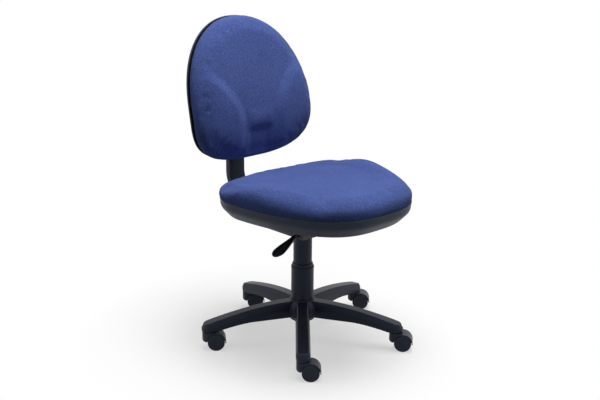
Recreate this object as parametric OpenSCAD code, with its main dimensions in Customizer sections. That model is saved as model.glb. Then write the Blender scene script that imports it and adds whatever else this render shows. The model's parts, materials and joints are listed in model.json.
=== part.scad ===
// Swivel office chair without arms: five-star base on twin-wheel casters, gas column,
// moulded seat pan with a deep cushion, and a contoured back on a cranked steel bar.
// +Z is up, the origin is on the column's axis at the floor, and the sitter faces -Y.

/* [Casters] */
// Diameter of each wheel
wheel_d = 48; // [46:1:56]
// Width of each wheel
wheel_w = 16.5; // [14:0.5:20]
// Gap between the two wheels of a caster
wheel_gap = 13; // [11:0.5:18]
// Distance from the swivel axis back to the axle
caster_trail = 20; // [19:0.5:23]
// Diameter of the wheel axle
axle_d = 8; // [6:0.5:9]
// Diameter of the swivel stem
stem_d = 11; // [10:0.5:12]
// Length of stem held in the leg
stem_hold = 20; // [17:1:21]
// Diameter of the hood's neck
neck_d = 37; // [35:1:39]
// Width of the mudguard over both wheels
guard_w = 43; // [38:1:45]
// Thickness of the mudguard
guard_t = 2.6; // [2.4:0.2:4]
// Height of the hood's top above the top of the wheels
hood_rise = 4.4; // [4.2:0.2:8]
// Direction in which the casters trail at rest
caster_turn = -44; // [-180:2:180]

/* [Base] */
// Distance from the column to each caster's swivel axis
caster_circle_r = 275; // [250:5:310]
// Direction of the first leg
leg_turn = 226.8; // [180:0.4:270]
// Width of a leg across its flat top
leg_top_w = 31; // [26:1:34]
// Width of a leg across its side crease
leg_w = 40; // [38:1:44]
// Thickness of the base's walls
base_wall = 3.5; // [3:0.5:5]
// Height of a leg's top where it meets the hub
leg_root_z = 117; // [108:1:120]
// Height of a leg's top over its caster
leg_nose_z = 80; // [80:1:90]
// Height of a leg's lower edge near the hub
leg_belly_z = 69.5; // [66:0.5:74]
// Height of the hub's top face
hub_top_z = 121.5; // [120:0.5:140]
// Diameter of the hub at its top
hub_d = 69; // [67:1:74]
// Height of the hub's lower face
hub_base_z = 60; // [54:1:66]

/* [Column] */
// Outer diameter of the column tube
tube_d = 50; // [49:0.5:50.5]
// Inner diameter of the column tube
tube_bore = 46; // [44:0.5:47]
// Height of the column tube's lower end
tube_base_z = 52; // [46:1:56]
// Height of the column tube's top
tube_top_z = 255; // [240:1:258]
// Diameter of the gas cylinder
gas_d = 28; // [26:0.5:30]
// Diameter of the piston rod
rod_d = 10; // [8:0.5:12]
// Height travel of the seat, down and up from the shown height
lift_travel = 60; // [40:5:60]
// Length of the guide bush
bush_l = 52; // [40:2:56]

/* [Column covers] */
// Outer diameter of the lower cover
cover_lower_d = 65; // [64:0.5:66]
// Outer diameter of the middle cover's rim
cover_middle_d = 60; // [59:0.5:60.5]
// Outer diameter of the upper cover
cover_upper_d = 52.6; // [52:0.2:54]
// Wall of the covers
cover_wall = 1; // [0.8:0.1:1]
// Height of the lower cover's top
cover_lower_top = 218; // [212:1:224]
// Height of the middle cover's top
cover_middle_top = 228; // [226:1:234]

/* [Seat mechanism] */
// Width of the mechanism's housing
mech_w = 150; // [140:2:170]
// Length of the housing in front of the column
mech_front = 80; // [75:1:90]
// Length of the housing behind the column
mech_rear = 115; // [100:5:130]
// Height of the housing's lower face
mech_base_z = 328; // [322:1:332]
// Thickness of the housing's steel
mech_t = 2.5; // [2:0.5:3]
// Diameter of the mounting bolts
bolt_d = 8; // [6:1:8]
// Spacing of the mounting bolts across the seat
bolt_x = 110; // [100:5:120]
// Spacing of the mounting bolts along the seat
bolt_y = 160; // [145:5:165]
// How far the lever stands in front of the column
lever_y = 55; // [45:1:60]
// Length of the lever from its pivot to its tip
lever_l = 110; // [100:2:150]
// Slope of the lever below level
lever_slope = 26; // [15:1:26]
// Width of the lever's paddle
paddle_w = 38; // [28:1:40]

/* [Seat] */
// Width of the seat
seat_w = 482; // [450:2:520]
// Reach of the seat in front of its widest line
seat_front = 341; // [320:1:365]
// Reach of the seat behind its widest line
seat_rear = 161; // [150:1:175]
// How far the widest line lies behind the column
seat_wide_y = 29; // [20:1:40]
// Squareness of the seat's front
seat_front_n = 3; // [2.5:0.1:4]
// Squareness of the seat's rear
seat_rear_n = 2; // [1.9:0.1:3]
// How much the seat narrows towards its front
seat_taper = 0.15; // [0:0.01:0.25]
// Height of the seam between the pan and the cushion
seam_z = 441; // [432:1:450]
// Height of the upper band of the pan
pan_band = 23; // [20:1:28]
// Depth of the whole pan
pan_depth = 54; // [48:1:58]
// How far the pan's lower band leans in
pan_inset = 31; // [24:1:40]
// Wall of the seat pan
pan_wall = 3; // [2.5:0.5:4]
// Thickness of the plywood seat board
seat_board_t = 12; // [9:1:14]
// Rise of the cushion's rim above the seam
cushion_rise = 39; // [36:1:48]
// How far the cushion bulges past the pan
cushion_bulge = 5; // [4:1:9]
// Share of that rise which is lost towards the rear
seat_fall = 0.6; // [0.1:0.05:0.7]
// Depth of the hollow in the seat's middle
seat_dish = 8; // [0:1:14]

/* [Back bar] */
// Width of the steel bar
bar_w = 50; // [44:1:52]
// Thickness of the steel bar
bar_t = 8; // [6:0.5:9]
// Width of the bar's plastic cover
sleeve_w = 58; // [56:1:60]
// Thickness of the bar's plastic cover
sleeve_t = 22; // [20:1:24]
// Height of the bar's level run
bar_z = 366; // [364:1:370]
// Distance of the upright run behind the column
bar_y = 290; // [282:1:296]
// Radius of the bend at the bar's centre
bar_bend_r = 75; // [60:5:85]
// Height of the bar's top
bar_top_z = 640; // [620:5:650]
// Travel of the back towards the front
depth_in = 8; // [4:1:10]
// Travel of the back to the rear
depth_out = 32; // [20:2:34]
// Travel of the back down from the shown height
height_down = 8; // [4:1:10]
// Travel of the back up
height_up = 52; // [30:2:56]
// Diameter of the clamp studs
stud_d = 8; // [6:1:10]
// Diameter of the clamp knobs
knob_d = 42; // [36:2:46]

/* [Back] */
// Width of the back
back_w = 420; // [390:5:440]
// Height of the back above its widest line
back_up = 243; // [220:5:260]
// Height of the back below its widest line
back_down = 151; // [140:1:160]
// Height of the widest line
back_wide_z = 648; // [640:2:660]
// Squareness of the back's top
back_top_n = 2.12; // [2:0.02:2.6]
// Squareness of the back's lower half
back_low_n = 3; // [2.4:0.1:3.6]
// Height where the back reaches furthest forward
lumbar_z = 590; // [570:5:610]
// Distance of the lumbar line behind the column
lumbar_y = 219; // [216:1:222]
// Slope that the back tends to above and below the lumbar line
recline = 0.363; // [0.3:0.01:0.4]
// Radius of the lumbar curve
lumbar_r = 90; // [70:5:120]
// Thickness of the curved plywood in the back
back_board_t = 9; // [8:1:11]
// Depth of the shell behind the board's middle
shell_depth = 18; // [16:1:20]
// Wall of the back shell
shell_wall = 3; // [2.5:0.5:3.5]
// Thickness of the back cushion at its rim's crown
back_pad_t = 40; // [34:1:46]
// How far the back cushion bulges past the shell
back_bulge = 5; // [3:1:9]

/* [Hidden] */

$fn = 64;
legs = 5;
e = 0.01;                               // overlap that makes one solid of two
run_fit = 0.05;                         // radial clearance of a running fit
slide_gap = 0.3;                        // clearance of parts that slide past each other
seat_gap = 0.3;                         // clearance of a soft part from its neighbour

// Casters
axle_z = wheel_d / 2;
wheel_clear = 1.4;                      // clearance of the hood around a wheel
guard_inner = axle_z + wheel_clear;
web_w = wheel_gap - 1.6;                // central web of the hood, clear of the wheels
hood_top = wheel_d + hood_rise;
collar_t = 1;
leg_end_z = hood_top + slide_gap + collar_t;
stem_base_z = hood_top - 24;
stem_step_z = hood_top - 9;             // below this the stem is thin, to fit inside the web
stem_foot_d = stem_d - 3;
caster_spread = [0, -6, -3, 3, 6];      // how the five casters differ in direction at rest
stem_top_z = leg_end_z + stem_hold;

// Column
taper_drop = 0.6;                       // how much the tube narrows in radius through the hub
taper_fit = 0.02;
rod_base_z = tube_base_z - 8;
floor_t = 4;                            // floor of the column tube
bearing_h = 7;
bearing_z = tube_base_z + floor_t;
bump_z = bearing_z + bearing_h;
bump_h = 6;
gas_rest_z = bump_z + bump_h + lift_travel + 1;
socket_h = 38;
socket_wall = 4;
gas_top_z = mech_base_z + socket_h + 1;
gas_taper = 0.8;
gas_end_t = 8;                          // lower end wall of the gas cylinder
piston_h = 14;
rod_top_z = gas_rest_z + gas_end_t + lift_travel + piston_h + 1;
bush_z = tube_top_z - bush_l;
bush_flange = 2;
cover_upper_base = hub_top_z + lift_travel + 2;
cover_middle_base = hub_top_z + lift_travel / 2 + 2;

// Mechanism
pan_base_z = seam_z - pan_depth;
plate_z = pan_base_z - mech_t;
board_z = pan_base_z + pan_wall;
board_top = board_z + seat_board_t;
pivot_x = -(mech_w / 2 - 13);
pivot_z = mech_base_z + 17;
pin_d = 8;
ear_gap = 14;                           // room between the ears that hold the lever
ear_t = 3;
ear_r = 9;
valve_d = 8;
valve_top_z = gas_top_z + 5;
finger_z = valve_top_z + slide_gap;
finger_t = 3;
tang_d = 8;                             // rod of the lever that the paddle is pressed on
tang_l = 52;
guide_wall = 3;
guide_front = 46;
guide_rear = mech_rear - mech_t - 0.5;
bar_front = 48;
knob_y = bar_front + depth_out + 10;    // the stud still meets the bar at the end of its travel
screw_d = 5;

// Bar and back
sleeve_front = mech_rear + depth_in + 6;
sleeve_bore = 0.3;
channel_t = 2;
channel_base = 535;
channel_h = 140;
channel_in_x = sleeve_w / 2 + slide_gap;
channel_in_y = sleeve_t / 2 + slide_gap;
height_knob_z = 572;
hump_wall = 2.6;
hump_in_x = channel_in_x + channel_t + 0.4;
hump_in_y = bar_y + channel_in_y + channel_t + 0.4;
hump_top = channel_base + channel_h + 36;
lip = 8;                                // depth of the shell's rim behind the spine

function leg_angle(i) = leg_turn + 360 / legs * (i - 1);
function caster_angle(i) = caster_turn + caster_spread[i - 1];
function spine(z) =
    lumbar_y + recline * (sqrt(pow(z - lumbar_z, 2) + pow(lumbar_r, 2)) - lumbar_r);
function oval(a, b, n, t) = pow(pow(abs(cos(t)) / a, n) + pow(abs(sin(t)) / b, n), -1 / n);

// Closed solid through a stack of rings that all have the same number of points, with each
// end closed by triangles that meet at the middle of its ring
module skin(rings) {
    m = len(rings[0]);
    k = len(rings);
    function middle(r) = [for (a = [0:2]) let (v = [for (p = r) p[a]]) (min(v) + max(v)) / 2];
    pts = concat([for (r = rings) for (p = r) p], [middle(rings[0]), middle(rings[k - 1])]);
    low = k * m;
    sides = [
        for (j = [0:k - 2]) for (i = [0:m - 1])
            let (a = j * m + i, b = j * m + (i + 1) % m)
            each [[a, a + m, b + m], [a, b + m, b]]
    ];
    caps = [
        for (i = [0:m - 1])
            let (n = (i + 1) % m, last = (k - 1) * m)
            each [[i, n, low], [last + n, last + i, low + 1]]
    ];
    polyhedron(points = pts, faces = concat(sides, caps), convexity = 6);
}

module tube(d_out, d_in, z0, z1) {
    difference() {
        translate([0, 0, z0]) cylinder(d = d_out, h = z1 - z0);
        translate([0, 0, z0 - 1]) cylinder(d = d_in, h = z1 - z0 + 2);
    }
}

module on_leg(i) rotate([0, 0, leg_angle(i)]) translate([caster_circle_r, 0, 0]) children();
module on_caster(i)
    translate([caster_circle_r * cos(leg_angle(i)), caster_circle_r * sin(leg_angle(i)), 0])
        rotate([0, 0, caster_angle(i)]) children();

// ---- Base ----
nose_r = leg_w / 2;
nose_roll = 11;
root_r = hub_d / 2;

function nose_share(r) = max(0, min(1, (r - caster_circle_r) / nose_r));
function leg_round(r) = sqrt(max(0, 1 - pow(nose_share(r), 2)));
function leg_top(r) =
    leg_root_z
    - (leg_root_z - leg_nose_z) * pow(max(0, r - root_r) / (caster_circle_r - root_r), 1.75)
    - nose_roll * (1 - leg_round(r));
function leg_low(r) =
    leg_belly_z
    - (leg_belly_z - leg_end_z)
        * pow(max(0, min(1, (r - 150) / (caster_circle_r - 19 - 150))), 1.6);
function leg_ring(r, inset, cut) =
    let (
        s = leg_round(r),
        top = leg_top(r) - (cut ? base_wall + 0.5 : 0),
        low = leg_low(r) - (cut ? 6 : 0),
        mid = low + (top - low) * 0.52,
        wt = leg_top_w / 2 * s - inset + 0.2,
        wm = leg_w / 2 * s - inset + 0.2,
        wl = (leg_w / 2 - 1.2) * s - inset + 0.2,
        c = 3 * s
    )
    [
        [r, -wl, low], [r, wl, low], [r, wm, mid], [r, wt + 0.5, top - c], [r, wt - c, top],
        [r, -wt + c, top], [r, -wt - 0.5, top - c], [r, -wm, mid]
    ];

leg_start_r = 33;                       // the legs start inside the hub, clear of each other
pocket_start_r = 52;
pocket_end_r = caster_circle_r - 24;
cells = 17;                             // pockets between the cross ribs of one leg
cell_l = (pocket_end_r - pocket_start_r) / cells;
rib_t = 2.5;

module leg_body() {
    stations = concat(
        [leg_start_r, 50, 80, 110, 140, 165, 190, 215, 235, 250],
        [for (u = [0, 0.3, 0.55, 0.75, 0.88, 0.96, 0.995]) caster_circle_r + nose_r * u]
    );
    skin([for (r = stations) leg_ring(r, 0, false)]);
}

module leg_pocket(r0, r1) {
    skin([for (r = [r0, r1]) leg_ring(r, base_wall, true)]);
}

module hub_body() {
    flare = hub_d / 2;
    rotate_extrude($fn = 96)
        polygon([
            [0, hub_base_z], [flare + 2, hub_base_z], [flare + 4, leg_belly_z - 2],
            [flare + 13, leg_belly_z + 3], [flare + 12, leg_root_z - 22],
            [flare + 7, leg_root_z - 10], [flare + 1.5, leg_root_z - 3],
            [flare, leg_root_z], [flare, hub_top_z - 1], [flare - 1, hub_top_z],
            [0, hub_top_z]
        ]);
}

module star_base() {
    color([0.09, 0.09, 0.1])
    difference() {
        union() {
            hub_body();
            for (i = [1:legs]) rotate([0, 0, leg_angle(i)]) leg_body();
        }
        for (i = [1:legs]) rotate([0, 0, leg_angle(i)])
            for (k = [0:cells - 1])
                leg_pocket(pocket_start_r + cell_l * k + rib_t / 2,
                    pocket_start_r + cell_l * (k + 1) - rib_t / 2);
        rotate_extrude() polygon([
            [0, hub_base_z - 1], [tube_d / 2 - taper_drop + taper_fit, hub_base_z - 1],
            [tube_d / 2 - taper_drop + taper_fit, hub_base_z],
            [tube_d / 2 + taper_fit, hub_top_z], [tube_d / 2 + taper_fit, hub_top_z + 1],
            [0, hub_top_z + 1]
        ]);
        for (i = [1:legs]) on_leg(i) translate([0, 0, leg_end_z - 1])
            cylinder(d = stem_d + 2 * ring_room, h = stem_hold + 2);
    }
}

ring_room = 0.4;                        // room around the stem for its grip ring
groove_z = leg_end_z + stem_hold * 0.6;
groove_h = 3;

module caster_stems() {
    color([0.62, 0.63, 0.66])
    for (i = [1:legs]) on_leg(i) difference() {
        union() {
            translate([0, 0, stem_base_z]) cylinder(d = stem_foot_d, h = stem_step_z - stem_base_z + e);
            translate([0, 0, stem_step_z]) cylinder(d = stem_d, h = stem_top_z - stem_step_z);
            translate([0, 0, leg_end_z - collar_t]) cylinder(d = stem_d + 6, h = collar_t);
        }
        translate([0, 0, groove_z]) tube(stem_d + 4, stem_d - 1.6, 0, groove_h);
    }
}

module stem_rings() {
    color([0.7, 0.7, 0.72])
    for (i = [1:legs]) on_leg(i)
        rotate_extrude(angle = 320)
            translate([stem_d / 2 - 0.75, groove_z + 0.2])
                square([0.75 + ring_room - 0.02, groove_h - 0.4]);
}

// ---- Casters ----
// One hood with its neck, centre web and mudguard, in the caster's own frame
module hood() {
    color([0.08, 0.08, 0.09])
    difference() {
        union() {
            rotate_extrude() polygon(concat(
                [[0, axle_z - 2]],
                [for (t = [-90:15:0])
                    [neck_d / 2 - 12 + 12 * cos(t), axle_z + 10 + 12 * sin(t)]],
                [[neck_d / 2, hood_top - 1], [neck_d / 2 - 1, hood_top], [0, hood_top]]
            ));
            translate([caster_trail, 0, axle_z]) rotate([90, 0, 0]) {
                translate([0, 0, -web_w / 2]) cylinder(r = axle_z - 4, h = web_w);
                rotate([0, 0, -4]) rotate_extrude(angle = 134, $fn = 96)
                    polygon([
                        [guard_inner - 1, -guard_w / 2],
                        [guard_inner + guard_t - 1, -guard_w / 2],
                        [guard_inner + guard_t, -guard_w / 2 + 1],
                        [guard_inner + guard_t, guard_w / 2 - 1],
                        [guard_inner + guard_t - 1, guard_w / 2], [guard_inner - 1, guard_w / 2]
                    ]);
                rotate([0, 0, -4]) rotate_extrude(angle = 150, $fn = 96)
                    translate([axle_z - 6, -web_w / 2]) square([wheel_clear + 7, web_w]);
            }
        }
        for (s = [-1, 1])
            translate([caster_trail, s * (web_w / 2 + 20), axle_z]) rotate([90, 0, 0])
                cylinder(r = guard_inner, h = 40, center = true, $fn = 96);
        translate([caster_trail, 0, axle_z]) rotate([90, 0, 0])
            cylinder(d = axle_d, h = 60, center = true);
        translate([0, 0, stem_base_z - 1])
            cylinder(r = stem_foot_d / 2 + run_fit, h = hood_top - stem_base_z);
        translate([0, 0, stem_step_z - slide_gap])
            cylinder(r = stem_d / 2 + run_fit, h = hood_top - stem_step_z + 5);
    }
}

axle_l = wheel_gap + 2 * wheel_w - 6;

module axle() {
    color([0.65, 0.66, 0.68])
    translate([caster_trail, 0, axle_z]) rotate([90, 0, 0])
        cylinder(d = axle_d, h = axle_l, center = true);
}

// One wheel, standing on the side that s points to
module wheel(s) {
    rim = axle_z;
    inner = wheel_gap / 2;
    outer = inner + wheel_w;
    bore_end = axle_l / 2 + slide_gap;
    color([0.07, 0.07, 0.08])
    translate([caster_trail, 0, axle_z]) rotate([s * -90, 0, 0])
    rotate_extrude($fn = 96)
        polygon([
            [axle_d / 2 + run_fit, inner], [axle_d / 2 + 4, inner], [axle_d / 2 + 4, inner + 7],
            [rim - 5, inner + 7], [rim - 5, inner], [rim - 1.5, inner], [rim, inner + 2],
            [rim, outer - 4], [rim - 0.4, outer - 2.2], [rim - 1.4, outer - 1.1],
            [rim - 3, outer - 0.7], [rim - 12, outer], [0, outer],
            [0, bore_end], [axle_d / 2 + run_fit, bore_end]
        ]);
}

// ---- Gas column ----
module column_tube() {
    color([0.1, 0.1, 0.11])
    difference() {
        union() {
            translate([0, 0, hub_base_z])
                cylinder(h = hub_top_z - hub_base_z, r1 = tube_d / 2 - taper_drop,
                    r2 = tube_d / 2);
            translate([0, 0, tube_base_z])
                cylinder(h = hub_base_z - tube_base_z + e, r = tube_d / 2 - taper_drop);
            translate([0, 0, hub_top_z - e])
                cylinder(h = tube_top_z - hub_top_z + e, d = tube_d);
        }
        translate([0, 0, bearing_z]) cylinder(h = tube_top_z, d = tube_bore);
        translate([0, 0, tube_base_z - 1])
            cylinder(h = floor_t + 2, r = rod_d / 2 + run_fit);
    }
}

module guide_bush() {
    color([0.85, 0.85, 0.82])
    difference() {
        union() {
            translate([0, 0, bush_z]) cylinder(h = bush_l, d = tube_bore);
            translate([0, 0, tube_top_z]) cylinder(h = bush_flange, d = tube_d - 1);
        }
        translate([0, 0, bush_z - 1])
            cylinder(h = bush_l + bush_flange + 2, r = gas_d / 2 + run_fit);
    }
}

module thrust_bearing() {
    color([0.7, 0.71, 0.73])
    rotate_extrude() polygon([
        [rod_d / 2 + run_fit, bearing_z], [15, bearing_z], [15, bearing_z + 2],
        [13, bearing_z + 2], [13, bump_z - 2], [15, bump_z - 2], [15, bump_z],
        [rod_d / 2 + run_fit, bump_z]
    ]);
}

module piston_rod() {
    color([0.75, 0.76, 0.78])
    difference() {
        union() {
            translate([0, 0, rod_base_z]) cylinder(h = rod_top_z - rod_base_z, d = rod_d);
            translate([0, 0, rod_top_z - piston_h])
                cylinder(h = piston_h, r = gas_d / 2 - 1.5 - run_fit);
        }
        translate([0, 0, tube_base_z - clip_t - slide_gap]) tube(rod_d + 4, rod_d - 2, 0, clip_t);
    }
}

clip_t = 1.6;

module rod_clip() {
    color([0.6, 0.6, 0.62])
    translate([0, 0, tube_base_z - clip_t - slide_gap + 0.1])
        tube(rod_d + 9, rod_d - 2 + 0.1, 0, clip_t - 0.2);
}

module bump_stop() {
    color([0.12, 0.12, 0.12])
    tube(22, rod_d, bump_z, bump_z + bump_h);
}

module gas_cylinder() {
    gas_wall = 1.5;
    top_wall = 12;
    color([0.12, 0.12, 0.13])
    difference() {
        union() {
            translate([0, 0, gas_rest_z]) cylinder(h = mech_base_z - gas_rest_z + e, d = gas_d);
            translate([0, 0, mech_base_z])
                cylinder(h = gas_top_z - mech_base_z, r1 = gas_d / 2, r2 = gas_d / 2 - gas_taper);
        }
        translate([0, 0, gas_rest_z + gas_end_t])
            cylinder(h = mech_base_z - gas_rest_z - gas_end_t - top_wall, r = gas_d / 2 - gas_wall);
        translate([0, 0, gas_rest_z - 1])
            cylinder(h = gas_end_t + 2, r = rod_d / 2 + run_fit);
        translate([0, 0, mech_base_z - 20])
            cylinder(h = gas_top_z, r = valve_d / 2 + run_fit);
    }
}

module valve_pin() {
    color([0.8, 0.2, 0.15])
    translate([0, 0, gas_top_z - 22])
        cylinder(h = valve_top_z - gas_top_z + 22, d = valve_d);
}

// ---- Column covers ----
module cover_lower() {
    lip_in = cover_middle_d + 1;
    color([0.09, 0.09, 0.1])
    rotate_extrude($fn = 96) polygon([
        [tube_d / 2 + slide_gap, hub_top_z], [cover_lower_d / 2, hub_top_z],
        [cover_lower_d / 2, cover_lower_top - 2], [cover_lower_d / 2 - 1, cover_lower_top],
        [lip_in / 2, cover_lower_top], [cover_lower_d / 2 - 2 * cover_wall, hub_top_z + 2],
        [tube_d / 2 + slide_gap, hub_top_z + 2]
    ]);
}

module cover_middle() {
    rim_h = 13;
    low_d = cover_middle_d - 0.6;
    rim_in = cover_upper_d + 1;
    color([0.09, 0.09, 0.1])
    rotate_extrude($fn = 96) polygon([
        [low_d / 2 - cover_wall, cover_middle_base], [low_d / 2, cover_middle_base],
        [low_d / 2, cover_middle_top - rim_h], [cover_middle_d / 2, cover_middle_top - rim_h],
        [cover_middle_d / 2, cover_middle_top - 4],
        [cover_middle_d / 2 - 2, cover_middle_top], [rim_in / 2, cover_middle_top],
        [rim_in / 2, cover_middle_top - 4], [low_d / 2 - cover_wall, cover_middle_top - 7]
    ]);
}

module cover_upper() {
    color([0.09, 0.09, 0.1])
    rotate_extrude($fn = 96) polygon([
        [cover_upper_d / 2 - cover_wall, cover_upper_base],
        [cover_upper_d / 2, cover_upper_base], [cover_upper_d / 2, mech_base_z],
        [gas_d / 2 + slide_gap, mech_base_z], [gas_d / 2 + slide_gap, mech_base_z - 2],
        [cover_upper_d / 2 - cover_wall, mech_base_z - 2]
    ]);
}

// ---- Seat mechanism ----
socket_d = gas_d + 2 * socket_wall;

module at_bolts() {
    for (x = [-1, 1], y = [-1, 1])
        translate([x * bolt_x / 2, y * bolt_y / 2 + (mech_rear - mech_front) / 2, 0]) children();
}

module mech_housing() {
    side_h = plate_z - mech_base_z;
    color([0.11, 0.11, 0.12])
    difference() {
        union() {
            difference() {
                translate([-mech_w / 2, -mech_front, mech_base_z])
                    cube([mech_w, mech_front + mech_rear, side_h]);
                translate([-mech_w / 2 + mech_t, -mech_front + mech_t, mech_base_z + mech_t])
                    cube([mech_w - 2 * mech_t, mech_front + mech_rear - 2 * mech_t, side_h]);
            }
            for (s = [-1, 1])
                translate([pivot_x, -lever_y + s * (ear_gap / 2 + ear_t / 2), pivot_z])
                    rotate([90, 0, 0]) {
                        cylinder(r = ear_r, h = ear_t, center = true);
                        translate([-ear_r, -(pivot_z - mech_base_z), -ear_t / 2])
                            cube([2 * ear_r, pivot_z - mech_base_z, ear_t]);
                    }
        }
        translate([0, 0, mech_base_z - 1]) cylinder(d = socket_d, h = 10);
        translate([-mech_w / 2 - 1, -lever_y - ear_gap / 2 + 1, mech_base_z + 1])
            cube([mech_t + 2, ear_gap - 2, 26]);
        translate([pivot_x, -lever_y, pivot_z]) rotate([90, 0, 0])
            cylinder(d = pin_d, h = 40, center = true);
        translate([-guide_out_x - slide_gap, mech_rear - mech_t - 1, bar_z - guide_out_z])
            cube([2 * guide_out_x + 2 * slide_gap, mech_t + 2, 2 * guide_out_z]);
        translate([0, knob_y, mech_base_z - 1]) cylinder(d = stud_d + 4, h = 6);
    }
}

module mech_plate() {
    flange = 12;
    color([0.12, 0.12, 0.13])
    difference() {
        translate([-mech_w / 2 - flange, -mech_front - flange, plate_z])
            cube([mech_w + 2 * flange, mech_front + mech_rear + 2 * flange, mech_t]);
        at_bolts() translate([0, 0, plate_z - 1]) cylinder(d = bolt_d + 1, h = mech_t + 2);
        translate([0, 0, plate_z - 1]) cylinder(d = 30, h = mech_t + 2);
    }
}

module taper_socket() {
    color([0.14, 0.14, 0.15])
    difference() {
        translate([0, 0, mech_base_z]) cylinder(d = socket_d, h = socket_h);
        translate([0, 0, mech_base_z - e])
            cylinder(h = gas_top_z - mech_base_z + 2 * e, r1 = gas_d / 2 + taper_fit,
                r2 = gas_d / 2 - gas_taper + taper_fit);
    }
}

guide_in_x = bar_w / 2 + slide_gap;
guide_in_z = bar_t / 2 + slide_gap;
guide_out_x = guide_in_x + guide_wall;
guide_out_z = guide_in_z + guide_wall;

// Channel that carries the bar, with posts down to the housing's floor
module bar_guide() {
    nut_h = 10;
    color([0.13, 0.13, 0.14])
    difference() {
        union() {
            translate([-guide_out_x, guide_front, bar_z - guide_out_z])
                cube([2 * guide_out_x, guide_rear - guide_front, 2 * guide_out_z]);
            for (y = [guide_front, guide_rear - guide_wall])
                translate([-guide_out_x, y, mech_base_z + mech_t])
                    cube([2 * guide_out_x, guide_wall, bar_z - guide_out_z - mech_base_z
                        - mech_t + e]);
            translate([0, knob_y, bar_z - guide_out_z - nut_h + e])
                cylinder(d = stud_d + 9, h = nut_h, $fn = 6);
        }
        translate([-guide_in_x, guide_front - 1, bar_z - guide_in_z])
            cube([2 * guide_in_x, guide_rear - guide_front + 2, 2 * guide_in_z]);
        translate([0, knob_y, mech_base_z])
            cylinder(r = stud_d / 2 + run_fit, h = bar_z - mech_base_z);
    }
}

module mech_bolts() {
    head_h = 5;
    color([0.6, 0.61, 0.63])
    at_bolts() {
        translate([0, 0, plate_z - head_h]) cylinder(d = 13, h = head_h, $fn = 6);
        translate([0, 0, plate_z - e]) cylinder(d = bolt_d, h = board_top - 2 - plate_z);
    }
}

module tee_nuts() {
    color([0.7, 0.7, 0.7])
    at_bolts() difference() {
        union() {
            translate([0, 0, board_z + 1]) cylinder(d = bolt_d + 3, h = seat_board_t - 1);
            translate([0, 0, board_top - 1.2]) cylinder(d = 20, h = 1.2);
        }
        translate([0, 0, board_z]) cylinder(d = bolt_d, h = seat_board_t + 1);
    }
}

// ---- Lever ----
module lever_pin() {
    color([0.65, 0.65, 0.68])
    translate([pivot_x, -lever_y, pivot_z]) rotate([90, 0, 0])
        cylinder(d = pin_d, h = ear_gap + 2 * ear_t + 2, center = true);
}

module along_lever() translate([pivot_x, -lever_y, pivot_z]) rotate([0, lever_slope, 180])
    children();

module lever_arm() {
    web_t = 5;
    color([0.14, 0.14, 0.15])
    difference() {
        union() {
            translate([pivot_x, -lever_y + web_t / 2, pivot_z]) rotate([90, 0, 0])
                linear_extrude(web_t)
                    polygon([
                        [-5, 0], [0, -7], [8, -4], [14, finger_z - pivot_z - 6],
                        [-pivot_x + 6, finger_z - pivot_z],
                        [-pivot_x + 6, finger_z - pivot_z + finger_t],
                        [8, finger_z - pivot_z + finger_t], [-3, 8]
                    ]);
            translate([pivot_x, -lever_y, pivot_z]) rotate([90, 0, 0])
                cylinder(r = pin_d / 2 + 3, h = ear_gap - 1, center = true);
            translate([-6, -lever_y, finger_z]) cube([12, lever_y + 6, finger_t]);
            along_lever() rotate([0, 90, 0]) cylinder(d = tang_d, h = tang_l);
        }
        translate([pivot_x, -lever_y, pivot_z]) rotate([90, 0, 0])
            cylinder(r = pin_d / 2 + run_fit, h = 30, center = true);
    }
}

// Flat paddle with rounded ends, thinning towards its tip
module lever_paddle() {
    neck = 24;
    half = paddle_w / 2;
    function half_w(u) = 5.5 + (half - 5.5) * pow(sin(min(90, 110 * u)), 1.5);
    function cap(u) = u < 0.72 ? 1 : sqrt(max(0.002, 1 - pow((u - 0.72) / 0.28, 2)));
    function half_t(u) = 6.2 - 2.6 * u;
    color([0.06, 0.06, 0.07])
    difference() {
        along_lever()
            skin([
                for (u = [0, 0.1, 0.2, 0.32, 0.45, 0.58, 0.72, 0.8, 0.87, 0.93, 0.97, 0.995, 1])
                    let (x = neck + (lever_l - neck) * u, w = half_w(u) * cap(u),
                        t = half_t(u) * (0.35 + 0.65 * cap(u)))
                    [for (a = [0:20:340])
                        [x, w * sign(cos(a)) * pow(abs(cos(a)), 0.7),
                            t * sign(sin(a)) * pow(abs(sin(a)), 0.7)]]
            ]);
        along_lever() rotate([0, 90, 0]) cylinder(d = tang_d, h = tang_l);
    }
}

// ---- Seat ----
seat_steps = 56;

function seat_point(t, inset) =
    let (
        b = (sin(t) < 0 ? seat_front : seat_rear) - inset,
        n = sin(t) < 0 ? seat_front_n : seat_rear_n,
        r = oval(seat_w / 2 - inset, b, n, t),
        y = r * sin(t),
        ahead = max(0, -y / b)
    )
    [r * cos(t) * (1 - seat_taper * pow(ahead, 1.3)), y + seat_wide_y];
function seat_ring(z, inset) =
    [for (i = [0:seat_steps - 1])
        let (p = seat_point(360 / seat_steps * i, inset)) [p[0], p[1], z]];

// Outer form of the pan, moved in by the wall for its inside
module pan_form(wall, top_z, base_z) {
    band_z = seam_z - pan_band;
    skin([
        seat_ring(base_z, pan_inset + wall),
        seat_ring(band_z, 2 + wall),
        seat_ring(top_z, wall)
    ]);
}

module seat_pan() {
    color([0.08, 0.08, 0.09])
    difference() {
        pan_form(0, seam_z, pan_base_z);
        pan_form(pan_wall, seam_z + 1, board_z);
        at_bolts() translate([0, 0, pan_base_z - 1]) cylinder(d = bolt_d + 1, h = pan_wall + 2);
        translate([0, 0, pan_base_z - 1]) cylinder(d = 34, h = pan_wall + 2);
        at_pan_screws() translate([0, 0, pan_base_z - 1]) cylinder(d = screw_d, h = pan_wall + 2);
    }
}

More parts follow.
